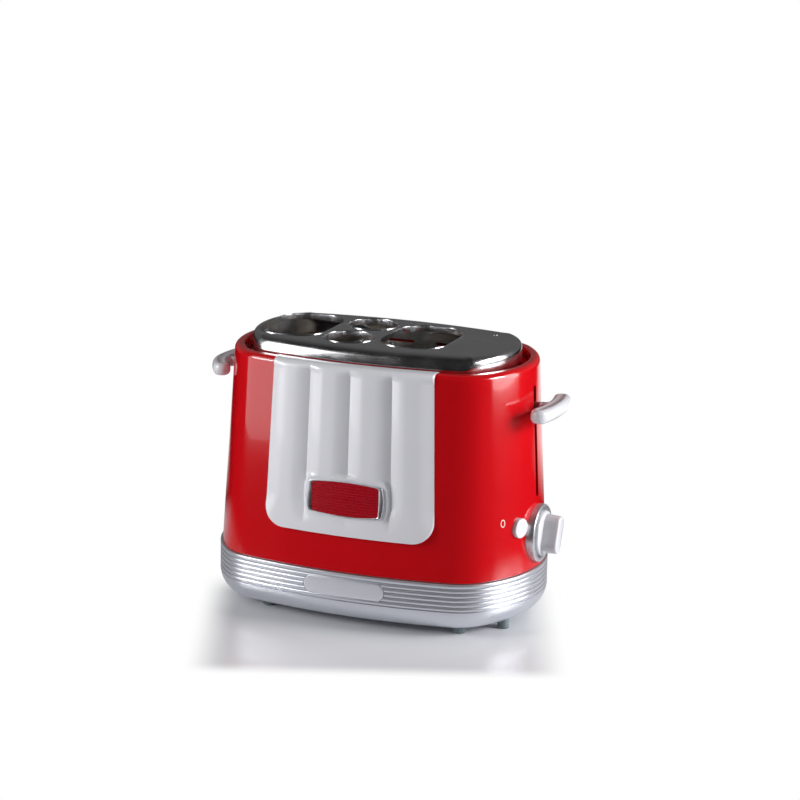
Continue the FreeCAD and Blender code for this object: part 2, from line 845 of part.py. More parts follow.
def reflector(side):
    """Long wall of the oven: bent inward at the left end to meet the end wall, with a window for the
    basket hook and a stay in the middle that carries the top plate."""
    outer = side * chassis_half_depth
    inner = side * (chassis_half_depth - reflector_sheet)
    end = side * (chassis_left_half + 0.3)
    bend = side * chassis_bend_y
    sheet = plan_polygon([(chassis_right_x, outer), (chassis_corner_x, outer), (chassis_bend_x, bend),
                          (chassis_left_x, end), (chassis_left_x + reflector_sheet, end),
                          (chassis_bend_x + 0.6, bend - side * 0.6), (chassis_corner_x + 0.2, inner),
                          (chassis_right_x, inner)], floor_top, chassis_top)
    low, high = sorted((outer, inner))
    half = plate_stay_width / 2
    stay = box(-half + 8, half + 8, low, high, chassis_top - 1, plate_skirt_foot)
    window = box(group_x - hook_half_width - 1, group_x + hook_half_width + 1, min(0, side * 70),
                 max(0, side * 70), basket_hook_height - sausage_travel - 3, basket_hook_height + 3)
    return fuse([sheet, stay]).cut(window)


def board_planes():
    """Middle planes of the four heater boards, from left to right."""
    left, right = slot_centres()
    half = slot_width / 2
    web = opening_web / 2
    return {"outer_left": left - half - outer_board_gap, "inner_left": left + half + web,
            "inner_right": right - half - web, "outer_right": right + half + outer_board_gap}


def heater_board(x):
    """Mica board that stands on the floor and carries the winding."""
    half = board_half_depth
    board = box(x - board_sheet / 2, x + board_sheet / 2, -half, half, board_bottom, board_top)
    foot_edge = half + board_foot_width
    feet_of_board = [box(x - board_sheet / 2, x + board_sheet / 2, min(side * half, side * foot_edge),
                         max(side * half, side * foot_edge), floor_top, board_bottom + 12)
                     for side in (-1, 1)]
    return fuse([board] + feet_of_board)


def heater_winding(x):
    """Flat resistance ribbon: level turns round the board, spaced evenly."""
    inner = board_sheet / 2 + 0.02
    half = board_half_depth + 0.02
    turns = []
    for turn in range(ribbon_count):
        z = board_bottom + ribbon_start + turn * ribbon_pitch
        outside = box(x - inner - ribbon_sheet, x + inner + ribbon_sheet,
                      -half - ribbon_sheet, half + ribbon_sheet, z, z + ribbon_width)
        turns.append(outside.cut(box(x - inner, x + inner, -half, half, z - 1, z + ribbon_width + 1)))
    return Part.makeCompound(turns)


def bun_guard(x):
    """Guard wires on both sides of one bun slot; their lower cross wires lie on the floor frame."""
    low = floor_top + guard_wire
    high = board_top - guard_wire
    parts = []
    for side in (-1, 1):
        plane = x + side * (slot_width / 2 - guard_inset)
        wires = [wire_y(plane, low, -guard_reach, guard_reach, guard_wire),
                 wire_y(plane, high, -guard_reach, guard_reach, guard_wire)]
        for number in range(guard_wire_count):
            y = -guard_half_depth + 2 * guard_half_depth * number / (guard_wire_count - 1)
            wires.append(rod(plane, y, low, high, guard_wire))
        parts.append(fuse(wires))
    return Part.makeCompound(parts)


# ---------------------------------------------------------------- lifts

def lever_knob(side, z, strip_end):
    """Finger bar that follows the end of the body, with round ends and a short neck round the strip."""
    centre_radius = lever_reach - end_centre - lever_bar_half_width
    half_angle = math.degrees(math.asin(lever_half_chord / centre_radius))
    w = lever_bar_half_width
    h = lever_bar_height / 2
    c = lever_bar_round
    outside = round_points((w - c, c - h), c, -90.0, 0.0, 2) + round_points((w - c, h - c), c, 0.0, 90.0, 2)
    inside = [(-outward, up) for outward, up in reversed(outside)]
    section = profile(*outside, *inside)
    half_section = profile((0, -h), *outside, (0, h))
    bar = section.copy()
    bar.translate(Vector(centre_radius, 0, 0))
    bar.rotate(Vector(0, 0, 0), UP, -half_angle)
    parts = [bar.revolve(Vector(0, 0, 0), UP, 2 * half_angle)]
    for end in (-1, 1):
        cap = half_section.copy().revolve(Vector(0, 0, 0), UP, end * 180)
        cap.translate(Vector(centre_radius, 0, 0))
        cap.rotate(Vector(0, 0, 0), UP, end * half_angle)
        parts.append(cap)
    neck = box(lever_neck_start - end_centre, centre_radius, -lever_neck_width / 2, lever_neck_width / 2,
               -lever_bar_height * 0.3, lever_bar_height * 0.3)
    knob = fuse(parts + [neck])
    pocket = box(0, strip_end - end_centre + 0.05, -lever_strip / 2 - 0.05, lever_strip / 2 + 0.05,
                 -lever_strip_depth / 2 - 0.05, lever_strip_depth / 2 + 0.05)
    knob = knob.cut(pocket)
    knob.translate(Vector(end_centre, 0, z))
    if side < 0:
        knob = knob.mirror(Vector(0, 0, 0), ALONG_X)
    return knob


strip_end_x = lever_reach - 2 * lever_bar_half_width + 3


def lever_strip_box(side, start_x, z):
    x0, x1 = sorted((side * start_x, side * strip_end_x))
    half = lever_strip_depth / 2
    return box(x0, x1, -lever_strip / 2, lever_strip / 2, z - half, z + half)


def bush(x, y, z, radius):
    return rod(x, y, z, z + bush_length, radius)


bracket_x = chassis_right_x + chassis_sheet + 3.5


def bun_carriage_bracket():
    """Folded strip outside the oven: cross bar, riser, lever strip, side arms, rod bushes, magnet tab."""
    x0 = bracket_x
    x1 = bracket_x + carriage_sheet
    y1 = bun_arm_y + carriage_sheet
    low = rack_height - bun_arm_depth / 2
    high = rack_height + bun_arm_depth / 2
    far_x = slot_centres()[0] - rack_wire_spacing - 3
    top = bun_lever_height + lever_strip_depth / 2 + 2
    tab_z = low - 1.0
    parts = [box(x0, x1, -y1, y1, low, high),
             box(x0, x1, -10, bun_rod_y + 5, low, top),
             lever_strip_box(1, x0, bun_lever_height),
             box(x0, magnet_x + armature_half, magnet_y - armature_half, magnet_y + armature_half,
                 tab_z, tab_z + carriage_sheet)]
    for side in (-1, 1):
        y = sorted((side * bun_arm_y, side * y1))
        parts.append(box(far_x, x1, y[0], y[1], low, high))
    for z in (low, top - bush_length):
        parts.append(bush(bun_rod_x, bun_rod_y, z, bush_radius))
        parts.append(box(x1 - 0.2, bun_rod_x - guide_rod_radius - 0.5, bun_rod_y - 1, bun_rod_y + 1,
                         z, z + bush_length))
    bracket = fuse(parts)
    return bracket.cut(rod(bun_rod_x, bun_rod_y, low - 5, top + 5, guide_rod_radius + rod_fit))


def bun_racks():
    """Wire rest for each bun: three wires across the slot, tied by one wire in the middle."""
    racks = []
    for x in slot_centres():
        wires = [wire_y(x + step * rack_wire_spacing, rack_height, -bun_arm_y, bun_arm_y, rack_wire)
                 for step in (-1, 0, 1)]
        wires.append(wire_x(0, rack_height, x - rack_wire_spacing, x + rack_wire_spacing, rack_wire))
        racks.append(fuse(wires))
    return Part.makeCompound(racks)


armature_top = rack_height - bun_arm_depth / 2 - 1.0


def armature_plate():
    half = armature_half - 1
    return box(magnet_x - half, magnet_x + half, magnet_y - half, magnet_y + half,
               armature_top - armature_sheet, armature_top)


magnet_top = armature_top - armature_sheet - bun_travel - 0.3


def magnet_core():
    base = chassis_floor_height + chassis_sheet
    pole = rod(magnet_x, magnet_y, base, magnet_top, magnet_core_radius)
    yoke = box(magnet_x - 10, magnet_x + 10, magnet_y - 7, magnet_y + 7, base, base + 2.0)
    return fuse([pole, yoke])


def magnet_coil():
    bottom = magnet_top - coil_height - 1.0
    coil = rod(magnet_x, magnet_y, bottom, magnet_top - 1.0, coil_radius)
    return coil.cut(rod(magnet_x, magnet_y, bottom - 1, magnet_top, magnet_core_radius + 0.1))


def guide_rod(x, y):
    return rod(x, y, chassis_floor_height + chassis_sheet + 0.05, rod_top + chassis_sheet + 1.5,
               guide_rod_radius)


spring_bottom = chassis_floor_height + 2 * chassis_sheet
spring_top = rack_height - bun_arm_depth / 2


def return_spring():
    """Coil spring round the guide rod, from the floor flange to the lower bush, in short straight runs."""
    low = spring_bottom + spring_wire + 0.05
    length = spring_top - 0.05 - spring_wire - low
    steps = spring_turns * spring_steps
    sections = []
    for step in range(steps + 1):
        outline = [Vector(spring_radius + spring_wire * dx, 0, spring_wire * dz)
                   for dx, dz in ((1, 0), (0, 1), (-1, 0), (0, -1), (1, 0))]
        section = Part.makePolygon(outline)
        section.rotate(Vector(0, 0, 0), UP, 360.0 * step / spring_steps)
        section.translate(Vector(bun_rod_x, bun_rod_y, low + length * step / steps))
        sections.append(section)
    return Part.makeLoft(sections, True, True)


def sausage_lift_bracket():
    """The left lift: a hoop inside the body's wall, round the oven, with a lever strip and rod bushes at
    the end and a hook to each basket."""
    outer = -hoop_inset
    inner = outer - carriage_sheet
    low = hoop_bottom
    high = low + hoop_depth
    bottom = low - riser_depth
    end_x = -(half_length + inner)
    hoop = oval_ring(profile((inner, low), (outer, low), (outer, high), (inner, high)))
    hoop_end = group_x + hook_half_width
    hoop = hoop.common(box(-half_length, hoop_end, -half_depth, half_depth, low - 1, high + 1))
    riser = sector(profile((inner, bottom), (outer, bottom), (outer, low), (inner, low)), LEFT_END_ARC)
    riser = riser.common(box(-half_length, -end_centre, -6, sausage_rod_y + 5, bottom - 1, low + 1))
    middle, strip = sorted((low + hoop_depth / 2, sausage_lever_height))
    post = box(end_x - carriage_sheet + 0.2, end_x - 0.2, -lever_strip / 4, lever_strip / 4, middle, strip)
    parts = [hoop, riser, post, lever_strip_box(-1, -end_x, sausage_lever_height)]
    hook_y = sausage_spacing / 2 + basket_radius + basket_wire + 0.05
    for side in (-1, 1):
        hook = sorted((side * hook_y, side * (half_depth + inner + 0.3)))
        parts.append(box(group_x - hook_half_width, group_x + hook_half_width, hook[0], hook[1],
                         basket_hook_height - 1, basket_hook_height + 1))
    for z in (bottom, high - bush_length):
        parts.append(bush(sausage_rod_x, sausage_rod_y, z, sausage_bush_radius))
    bracket = join(parts)
    return bracket.cut(rod(sausage_rod_x, sausage_rod_y, bottom - 5, high + 5, guide_rod_radius + rod_fit))


def sausage_baskets():
    """Two open wire baskets: upright wires, a ring at top and hook height, and a cross to stand on."""
    baskets = []
    for x, y in sausage_centres():
        wires = []
        for number in range(6):
            px = x + basket_radius * math.cos(math.radians(60 * number))
            py = y + basket_radius * math.sin(math.radians(60 * number))
            wires.append(rod(px, py, basket_bottom, basket_top, basket_wire))
        for z in (basket_hook_height, basket_top):
            band = rod(x, y, z - basket_wire, z + basket_wire, basket_radius + basket_ring_half)
            wires.append(band.cut(rod(x, y, z - 1, z + 1, basket_radius - basket_ring_half)))
        for turn in range(3):
            spoke = wire_x(0, 0, -basket_radius, basket_radius, basket_wire)
            spoke.rotate(Vector(0, 0, 0), UP, 60 * turn)
            spoke.translate(Vector(x, y, basket_bottom))
            wires.append(spoke)
        baskets.append(fuse(wires))
    return Part.makeCompound(baskets)


# ---------------------------------------------------------------- controls

def end_skin(arc_number, low, high, z0, z1):
    """A layer of the end wall, from low to high mm out of its outside face."""
    return sector(profile((-shell_inset(z0) + low, z0), (-shell_inset(z0) + high, z0),
                          (-shell_inset(z1) + high, z1), (-shell_inset(z1) + low, z1)), arc_number)


def dial_bezel():
    """Ring that sits on the curved end wall, with a sunk face round the shaft for the knob."""
    z0 = dial_height - bezel_radius - 4
    z1 = dial_height + bezel_radius + 4
    disc = disc_x(half_length - 14, bezel_face_x, 0, dial_height, bezel_radius)
    rim = [edge for edge in disc.Edges if edge.Closed and edge.CenterOfMass.x > bezel_face_x - 0.1]
    disc = disc.makeChamfer(0.8, rim)
    disc = disc.cut(disc_x(bezel_face_x - bezel_recess, bezel_face_x + 1, 0, dial_height,
                           bezel_radius - bezel_ring))
    disc = disc.cut(disc_x(half_length - 20, bezel_face_x + 1, 0, dial_height, shaft_radius + 0.6))
    return disc.cut(end_skin(RIGHT_END_ARC, -30, 0.05, z0, z1))


def dial_knob():
    """Round flange with a tapered bar grip across it."""
    start = bezel_face_x - bezel_recess + 0.3
    flange = disc_x(start, start + knob_flange_sheet, 0, dial_height, knob_flange_radius)
    rim = [edge for edge in flange.Edges if edge.Closed and edge.CenterOfMass.x > start + 1]
    flange = flange.makeChamfer(1.0, rim)
    sections = []
    for x, shrink in ((start + knob_flange_sheet / 2, 0.0), (knob_tip_x, grip_draft)):
        length = grip_half_length - shrink
        width = grip_half_width - shrink
        corners = [Vector(x, -width, -length + width), Vector(x, width, -length + width),
                   Vector(x, width, length - width), Vector(x, -width, length - width)]
        edges = [Part.Arc(corners[0], Vector(x, 0, -length), corners[1]).toShape(),
                 Part.makeLine(corners[1], corners[2]),
                 Part.Arc(corners[2], Vector(x, 0, length), corners[3]).toShape(),
                 Part.makeLine(corners[3], corners[0])]
        sections.append(Part.Wire(edges))
    grip = Part.makeLoft(sections, True, True)
    tip = [edge for edge in grip.Edges if all(abs(v.X - knob_tip_x) < 1e-6 for v in edge.Vertexes)]
    grip = grip.makeChamfer(1.0, tip)
    grip.rotate(Vector(0, 0, 0), ALONG_X, -grip_lean)
    grip.translate(Vector(0, 0, dial_height))
    bore = disc_x(start - 1, shaft_end_x + 0.2, 0, dial_height, shaft_radius + 0.02)
    return flange.fuse(grip).cut(bore).removeSplitter()


def dial_shaft():
    return disc_x(shaft_start_x, shaft_end_x, 0, dial_height, shaft_radius)


def timer_body():
    """Rotary timer on the control board, with the neck that the shaft turns in."""
    block = box(timer_x, timer_x + timer_depth, -timer_half, timer_half,
                dial_height - timer_half, dial_height + timer_half)
    end = timer_x + timer_depth
    neck = disc_x(end - 0.5, end + timer_neck_length, 0, dial_height, timer_neck_radius)
    body = fuse([block, neck])
    return body.cut(disc_x(shaft_start_x - 0.1, end + timer_neck_length + 1, 0, dial_height,
                           shaft_radius + rod_fit))


def stop_button():
    """Round cap, a flange behind the wall that keeps it in, and a stem that enters the switch."""
    cap = along_button(-button_collar_length - 1.5, button_rise, button_radius)
    face = [edge for edge in cap.Edges if edge.Closed and edge.CenterOfMass.x > half_length - 7]
    cap = cap.makeChamfer(0.7, face[:1])
    flange_start = -button_collar_length - 0.3 - button_flange_sheet
    flange = along_button(flange_start, flange_start + button_flange_sheet, button_flange_radius)
    stem = along_button(switch_face() - button_travel - 0.5, flange_start + 0.5, button_pin_radius)
    return fuse([cap, flange, stem])


def switch_face():
    """Distance out of the wall, negative inward, of the face that the button's stem enters."""
    return -button_collar_length - button_flange_sheet - button_travel - 2.5


def stop_switch():
    """Push switch square to the button's axis, on a foot that stands on the control board."""
    place, out = button_frame()
    start = switch_face() - switch_depth
    block = box(start, start + switch_depth, -switch_half, switch_half, -switch_half, switch_half)
    block.rotate(Vector(0, 0, 0), UP, button_angle)
    block.translate(place)
    back = place + out * (start + 4)
    foot_block = box(board_x, back.x + 1, back.y - 4, back.y + 4,
                     button_height - switch_half, button_height + switch_half)
    body = fuse([block, foot_block])
    bore_end = switch_face() - 2 * button_travel - 1.0
    bore = along_button(bore_end, switch_face() + 1, button_pin_radius + rod_fit)
    return body.cut(bore)


def control_board():
    return box(board_x - board_thickness, board_x, control_board_left_y, control_board_right_y,
               control_board_bottom, control_board_top)


def control_bracket():
    """Angle that carries the control board on the chassis floor."""
    x1 = board_x - board_thickness
    x0 = x1 - bracket_sheet
    z = chassis_floor_height + chassis_sheet
    upright = box(x0, x1, control_board_left_y + 4, control_board_right_y - 12, z, control_board_top)
    flange = box(x0 - 14, x1, control_board_left_y + 4, -18, z, z + bracket_sheet)
    return fuse([upright, flange])


# ---------------------------------------------------------------- crumb tray, inlet

def crumb_tray():
    """Folded sheet pan, with a lip at the back that its front is fixed to."""
    left = group_x - tray_half_width
    right = group_x + tray_half_width
    back = half_depth - 20
    pan = box(left, right, tray_front_y, back, tray_floor, tray_floor + tray_height)
    hollow = box(left + tray_sheet, right - tray_sheet, tray_front_y + tray_sheet, back - tray_sheet,
                 tray_floor + tray_sheet, tray_floor + tray_height + 1)
    return pan.cut(hollow)


def crumb_tray_front():
    """Grip that fills the mouth in the base and follows its skirt."""
    skirt = sector(profile((-17.0, foot_height), *skirt_points(0.0, -90.0), (-17.0, skirt_top)), BACK_ARC)
    block = skirt.common(tray_mouth(0.0))
    return block.cut(box(-half_length, half_length, 0, half_depth - 20, 0, skirt_top))


def gland_reach():
    """The grommet stands out at the back as far as the badge does at the front."""
    badge_foot = badge_height - badge_half_height - badge_bulge
    return half_depth - shell_inset(badge_foot) + badge_pad_rise + badge_frame_rise


def cord_gland():
    """Grommet in the back wall of the base: a collar outside, a neck in the hole, an open bore."""
    wall_y = half_depth - 4.2
    collar = wire_y(gland_x, gland_height, wall_y, gland_reach(), gland_radius)
    neck = wire_y(gland_x, gland_height, wall_y - 12, wall_y + 1, gland_radius - 1.45)
    keeper = wire_y(gland_x, gland_height, wall_y - 12, wall_y - 9, gland_radius)
    bore = wire_y(gland_x, gland_height, wall_y - 20, gland_reach() + 5, gland_bore)
    return fuse([collar.cut(back_rib_zone()), neck, keeper]).cut(bore)


def back_rib_zone():
    """The base's rib zone on the back arc, which the gland's collar is shaped to."""
    return sector(profile((-12.0, first_valley), (base_proud + 0.05, first_valley),
                          (base_proud + 0.05, last_valley), (-12.0, last_valley)), BACK_ARC)


def terminal_block():
    z = chassis_floor_height + chassis_sheet
    back = half_depth - terminal_gap
    return box(gland_x - 2, gland_x + 14, back - terminal_depth, back, z, z + 10)


# ---------------------------------------------------------------- output

planes = board_planes()
left_slot_x, right_slot_x = slot_centres()
nodes = {
    "base_housing": base_housing(),
    "base_badge_plate": base_badge_plate(),
    "feet": feet(),
    "base_screws": base_screws(),
    "body_shell": body_shell(),
    "front_panel": front_panel(),
    "panel_badge_frame": panel_badge_frame(),
    "panel_badge_insert": panel_badge_insert(),
    "top_plate": top_plate(),
    "plate_rivet": plate_rivet(),
    "oven_end_left": oven_end_left(),
    "oven_end_right": oven_end_right(),
    "chassis_floor": chassis_floor(),
    "front_reflector": reflector(-1),
    "rear_reflector": reflector(1),
    "bun_guard_left": bun_guard(left_slot_x),
    "bun_guard_right": bun_guard(right_slot_x),
    "guide_rod_right": guide_rod(bun_rod_x, bun_rod_y),
    "guide_rod_left": guide_rod(sausage_rod_x, sausage_rod_y),
    "return_spring": return_spring(),
    "bun_carriage_bracket": bun_carriage_bracket(),
    "bun_racks": bun_racks(),
    "armature_plate": armature_plate(),
    "bun_lever_knob": lever_knob(1, bun_lever_height, strip_end_x),
    "sausage_lift_bracket": sausage_lift_bracket(),
    "sausage_baskets": sausage_baskets(),
    "sausage_lever_knob": lever_knob(-1, sausage_lever_height, strip_end_x),
    "magnet_core": magnet_core(),
    "magnet_coil": magnet_coil(),
    "dial_bezel": dial_bezel(),
    "dial_knob": dial_knob(),
    "dial_shaft": dial_shaft(),
    "timer_body": timer_body(),
    "stop_button": stop_button(),
    "stop_switch": stop_switch(),
    "control_board": control_board(),
    "control_bracket": control_bracket(),
    "crumb_tray": crumb_tray(),
    "crumb_tray_front": crumb_tray_front(),
    "cord_gland": cord_gland(),
    "terminal_block": terminal_block(),
}
for place, x in planes.items():
    nodes["heater_board_" + place] = heater_board(x)
    nodes["heater_winding_" + place] = heater_winding(x)

os.makedirs("parts", exist_ok=True)
for name, shape in nodes.items():
    shape.exportStep("parts/" + name + ".step")
    solids = len(shape.Solids)
    print(f"{name:28s} solids {solids:2d}  volume {shape.Volume:12.1f}  valid {shape.isValid()}")
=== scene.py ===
"""Dressed model of a countertop toaster for buns and sausages.

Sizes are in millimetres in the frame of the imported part: +X points to the dial, -Y to the fluted panel and
+Z up. Every mesh is written in metres, at its own place, on an object that stays at the origin.
"""

import logging
import math
from collections.abc import Iterable, Sequence
from dataclasses import dataclass
from enum import Enum

import bmesh
import bpy
import numpy as np
from mathutils import Matrix, Vector


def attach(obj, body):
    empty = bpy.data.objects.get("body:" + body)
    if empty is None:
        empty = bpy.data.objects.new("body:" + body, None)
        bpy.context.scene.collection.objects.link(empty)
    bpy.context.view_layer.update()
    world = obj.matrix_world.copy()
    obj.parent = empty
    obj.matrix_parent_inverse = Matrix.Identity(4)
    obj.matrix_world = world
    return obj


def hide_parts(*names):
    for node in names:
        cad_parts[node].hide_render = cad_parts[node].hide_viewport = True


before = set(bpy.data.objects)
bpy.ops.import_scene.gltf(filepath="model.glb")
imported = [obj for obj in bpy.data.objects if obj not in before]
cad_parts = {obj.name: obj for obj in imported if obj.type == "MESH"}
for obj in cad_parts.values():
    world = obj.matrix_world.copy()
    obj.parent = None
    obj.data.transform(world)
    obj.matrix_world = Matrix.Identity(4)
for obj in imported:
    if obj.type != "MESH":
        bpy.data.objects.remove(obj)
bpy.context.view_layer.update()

MM = 0.001
PLAN_STEP = 1.7
NORMAL_WEIGHT = 60
Array = np.ndarray
Triple = tuple[float, float, float]
Colour = Triple
Socket = bpy.types.NodeSocket
log = logging.getLogger("toaster")


# ---- surfaces

class Axis(Enum):
    """The direction that a flat outline is drawn out along."""

    X = "x"
    Y = "y"
    Z = "z"


class Cut(Enum):
    """What is kept where two closed surfaces meet."""

    TAKE_AWAY = "DIFFERENCE"
    ADD = "UNION"


@dataclass
class Surface:
    """Points in millimetres and faces as rows of point numbers."""

    points: Array
    faces: list[Sequence[int]]

    def plus(self, *others: "Surface") -> "Surface":
        """Put several surfaces into one.

        Args:
            others: the surfaces to add.

        Returns:
            One surface that holds them all.
        """
        points, faces = [self.points], list(self.faces)
        start = len(self.points)
        for other in others:
            points.append(other.points)
            faces += [[number + start for number in face] for face in other.faces]
            start += len(other.points)
        return Surface(np.concatenate(points), faces)

    def mirrored_x(self) -> "Surface":
        """The same surface on the other side of x = 0, with its faces turned to match."""
        return Surface(self.points * (-1.0, 1.0, 1.0), [list(face)[::-1] for face in self.faces])


def gather(surfaces: Iterable[Surface]) -> Surface:
    """Put all the given surfaces into one."""
    first, *rest = list(surfaces)
    return first.plus(*rest)


def grid(points: Array, wrap_rows: bool = False, wrap_columns: bool = False) -> Surface:
    """Faces between neighbouring points of a (rows, columns, 3) array.

    Args:
        points: the array of points.
        wrap_rows: whether the last row joins the first.
        wrap_columns: whether the last column joins the first.

    Returns:
        The surface, four-sided throughout.
    """
    rows, columns = points.shape[:2]
    number = np.arange(rows * columns).reshape(rows, columns)
    below = number if wrap_rows else number[:-1]
    above = np.roll(number, -1, axis=0) if wrap_rows else number[1:]
    if not wrap_columns:
        quads = np.stack([below[:, :-1], below[:, 1:], above[:, 1:], above[:, :-1]], axis=-1)
    else:
        quads = np.stack([below, np.roll(below, -1, axis=1), np.roll(above, -1, axis=1), above], axis=-1)
    return Surface(points.reshape(-1, 3), quads.reshape(-1, 4).tolist())


def capped(points: Array) -> Surface:
    """A tube of closed rows, with a flat face across its first and its last row.

    Args:
        points: an array (rows, columns, 3), each row a closed loop.

    Returns:
        The closed surface.
    """
    rows, columns = points.shape[:2]
    body = grid(points, wrap_columns=True)
    first = list(range(columns))[::-1]
    last = list(range((rows - 1) * columns, rows * columns))
    return Surface(body.points, body.faces + [first, last])


def around(count: int) -> Array:
    """Evenly spaced angles once round, in radians."""
    return np.linspace(0.0, 2 * math.pi, count, endpoint=False)


def arc(centre: tuple[float, float], radius: float, first: float, last: float, count: int) -> Array:
    """Points on a circle: centre plus radius times (cosine, sine) of evenly spaced angles in degrees."""
    angles = np.radians(np.linspace(first, last, count + 1))
    return np.stack([centre[0] + radius * np.cos(angles), centre[1] + radius * np.sin(angles)], axis=1)


def rows_of(*parts: Sequence[float] | Array) -> Array:
    """One array of (a, b) rows from single points and runs of points."""
    return np.concatenate([np.atleast_2d(np.asarray(part, float)) for part in parts])


def rounded_outline(centre: tuple[float, float], width: float, length: float, radius: float,
                    count: int = 10) -> tuple[Array, Array]:
    """A rectangle with round corners, anticlockwise: four quarter circles, joined by straight sides.

    Args:
        centre: middle of the rectangle.
        width: size along the first axis.
        length: size along the second axis.
        radius: corner radius.
        count: steps in a corner.

    Returns:
        The points and their outward directions.
    """
    points, normals = [], []
    for turn, (sx, sy) in enumerate(((1, 1), (-1, 1), (-1, -1), (1, -1))):
        angles = np.radians(np.linspace(90.0 * turn, 90.0 * turn + 90.0, count + 1))
        outward = np.stack([np.cos(angles), np.sin(angles)], axis=1)
        corner = np.array([centre[0] + sx * (width / 2 - radius), centre[1] + sy * (length / 2 - radius)])
        points.append(corner + radius * outward)
        normals.append(outward)
    return np.concatenate(points), np.concatenate(normals)


def slab(outline: Array, low: float, high: float, axis: Axis) -> Surface:
    """A flat outline drawn out along an axis, closed at both ends.

    Args:
        outline: (n, 2) points in the plane across the axis, in the order of the remaining axes.
        low: where it starts.
        high: where it ends.
        axis: the direction.

    Returns:
        The closed surface.
    """
    levels = np.repeat([low, high], len(outline)).reshape(2, -1, 1)
    flat = np.broadcast_to(outline, (2, *outline.shape))
    place = {Axis.X: (2, 0, 1), Axis.Y: (0, 2, 1), Axis.Z: (0, 1, 2)}[axis]
    stacked = np.concatenate([flat, levels], axis=2)
    return capped(stacked[:, :, list(place)])


def swept(points: Array, normals: Array, profile: Array) -> Array:
    """A profile carried along a plan path: path point + offset x outward direction, at the profile's height.

    Args:
        points: (n, 2) path points.
        normals: (n, 2) outward directions.
        profile: rows of offset and height, (m, 2) for the whole path or (n, m, 2) for each of its points.

    Returns:
        (n, m, 3) points.
    """
    profile = np.broadcast_to(profile, (len(points), *profile.shape[-2:]))
    flat = points[:, None, :] + profile[..., :1] * normals[:, None, :]
    return np.concatenate([flat, profile[..., 1:]], axis=2)


def ringed(points: Array, normals: Array, profile: Array) -> Surface:
    """A closed profile carried round a closed plan path."""
    return grid(swept(points, normals, profile), wrap_rows=True, wrap_columns=True)


@dataclass(frozen=True)
class Spindle:
    """An axis in space that shapes are turned about: a start point and three square directions."""

    origin: Triple
    along: Triple
    aside: Triple

    def place(self, radius: Array, height: Array, angle: Array) -> Array:
        """Points about the axis.

        Args:
            radius: distances from the axis.
            height: distances along it.
            angle: turns about it in radians, from the sideways direction.

        Returns:
            An array of points: origin + height x along + radius x (cosine x aside + sine x across).
        """
        along = np.array(self.along)
        aside = np.array(self.aside)
        across = np.cross(along, aside)
        return (np.array(self.origin) + height[..., None] * along
                + (radius * np.cos(angle))[..., None] * aside + (radius * np.sin(angle))[..., None] * across)

    def turned(self, profile: Array, count: int = 64) -> Surface:
        """A closed profile of (radius, height) turned round the axis.

        Args:
            profile: rows of radius and height; a shape without a hole starts and ends at radius 0.
            count: steps round the axis.

        Returns:
            The turned surface.
        """
        shape = (count, len(profile))
        points = self.place(np.broadcast_to(profile[:, 0], shape), np.broadcast_to(profile[:, 1], shape),
                            np.broadcast_to(around(count)[:, None], shape))
        return grid(points, wrap_rows=True, wrap_columns=True)

    def drill(self, radius: float, low: float, high: float, count: int) -> Surface:
        """A closed cylinder round the axis, between two heights."""
        return self.turned(rows_of((0, low), (radius, low), (radius, high), (0, high)), count)


UPRIGHT = ((0.0, 0.0, 1.0), (1.0, 0.0, 0.0))
TO_DIAL = ((1.0, 0.0, 0.0), (0.0, 0.0, 1.0))
TO_BACK = ((0.0, 1.0, 0.0), (0.0, 0.0, 1.0))


def wire(path: Array, radius: float, flat_normal: Triple, sides: int = 10,
         closed: bool = False) -> Surface:
    """Round wire along a path that lies in one plane: a circle carried square to the path's direction.

    Args:
        path: (n, 3) points.
        radius: wire radius.
        flat_normal: the direction square to the path's plane.
        sides: flats round the wire.
        closed: whether the path is a loop.

    Returns:
        The closed tube; open ends are rounded over.
    """
    if closed:
        ahead = np.roll(path, -1, axis=0) - np.roll(path, 1, axis=0)
    else:
        ahead = np.gradient(path, axis=0)
    ahead = ahead / np.linalg.norm(ahead, axis=1, keepdims=True)
    up = np.array(flat_normal, float)
    aside = np.cross(ahead, up)
    aside = aside / np.linalg.norm(aside, axis=1, keepdims=True)
    radii = np.full(len(path), radius)
    if not closed:
        past, narrow = np.array([0.5, 0.87]), np.array([0.87, 0.5])
        start = path[0] - ahead[0] * radius * past[:, None]
        end = path[-1] + ahead[-1] * radius * past[:, None]
        path = np.concatenate([start[::-1], path, end])
        aside = np.concatenate([aside[:1], aside[:1], aside, aside[-1:], aside[-1:]])
        radii = np.concatenate([narrow[::-1] * radius, radii, narrow * radius])
    angles = around(sides)
    circle = np.cos(angles)[None, :, None] * aside[:, None, :] + np.sin(angles)[None, :, None] * up
    points = path[:, None, :] + radii[:, None, None] * circle
    return grid(points, wrap_rows=True, wrap_columns=True) if closed else capped(points)


def border(sheet: Array) -> Array:
    """The points along the edge of a sheet of points, once round."""
    return np.concatenate([sheet[0, :-1], sheet[:-1, -1], sheet[-1, :0:-1], sheet[:0:-1, 0]])


def pillow(*sheets: Array) -> Surface:
    """The closed surface over a first and a last sheet of points, its rim led along the sheets between."""
    rims = np.stack([border(sheet) for sheet in sheets])
    return grid(sheets[0]).plus(grid(rims, wrap_columns=True), grid(sheets[-1]))


def soft_step(low: float, high: float, value: Array) -> Array:
    """Smooth rise from 0 at low to 1 at high: 3t^2 - 2t^3 of the share t of the way between them."""
    share = np.clip((value - low) / (high - low), 0.0, 1.0)
    return share * share * (3.0 - 2.0 * share)


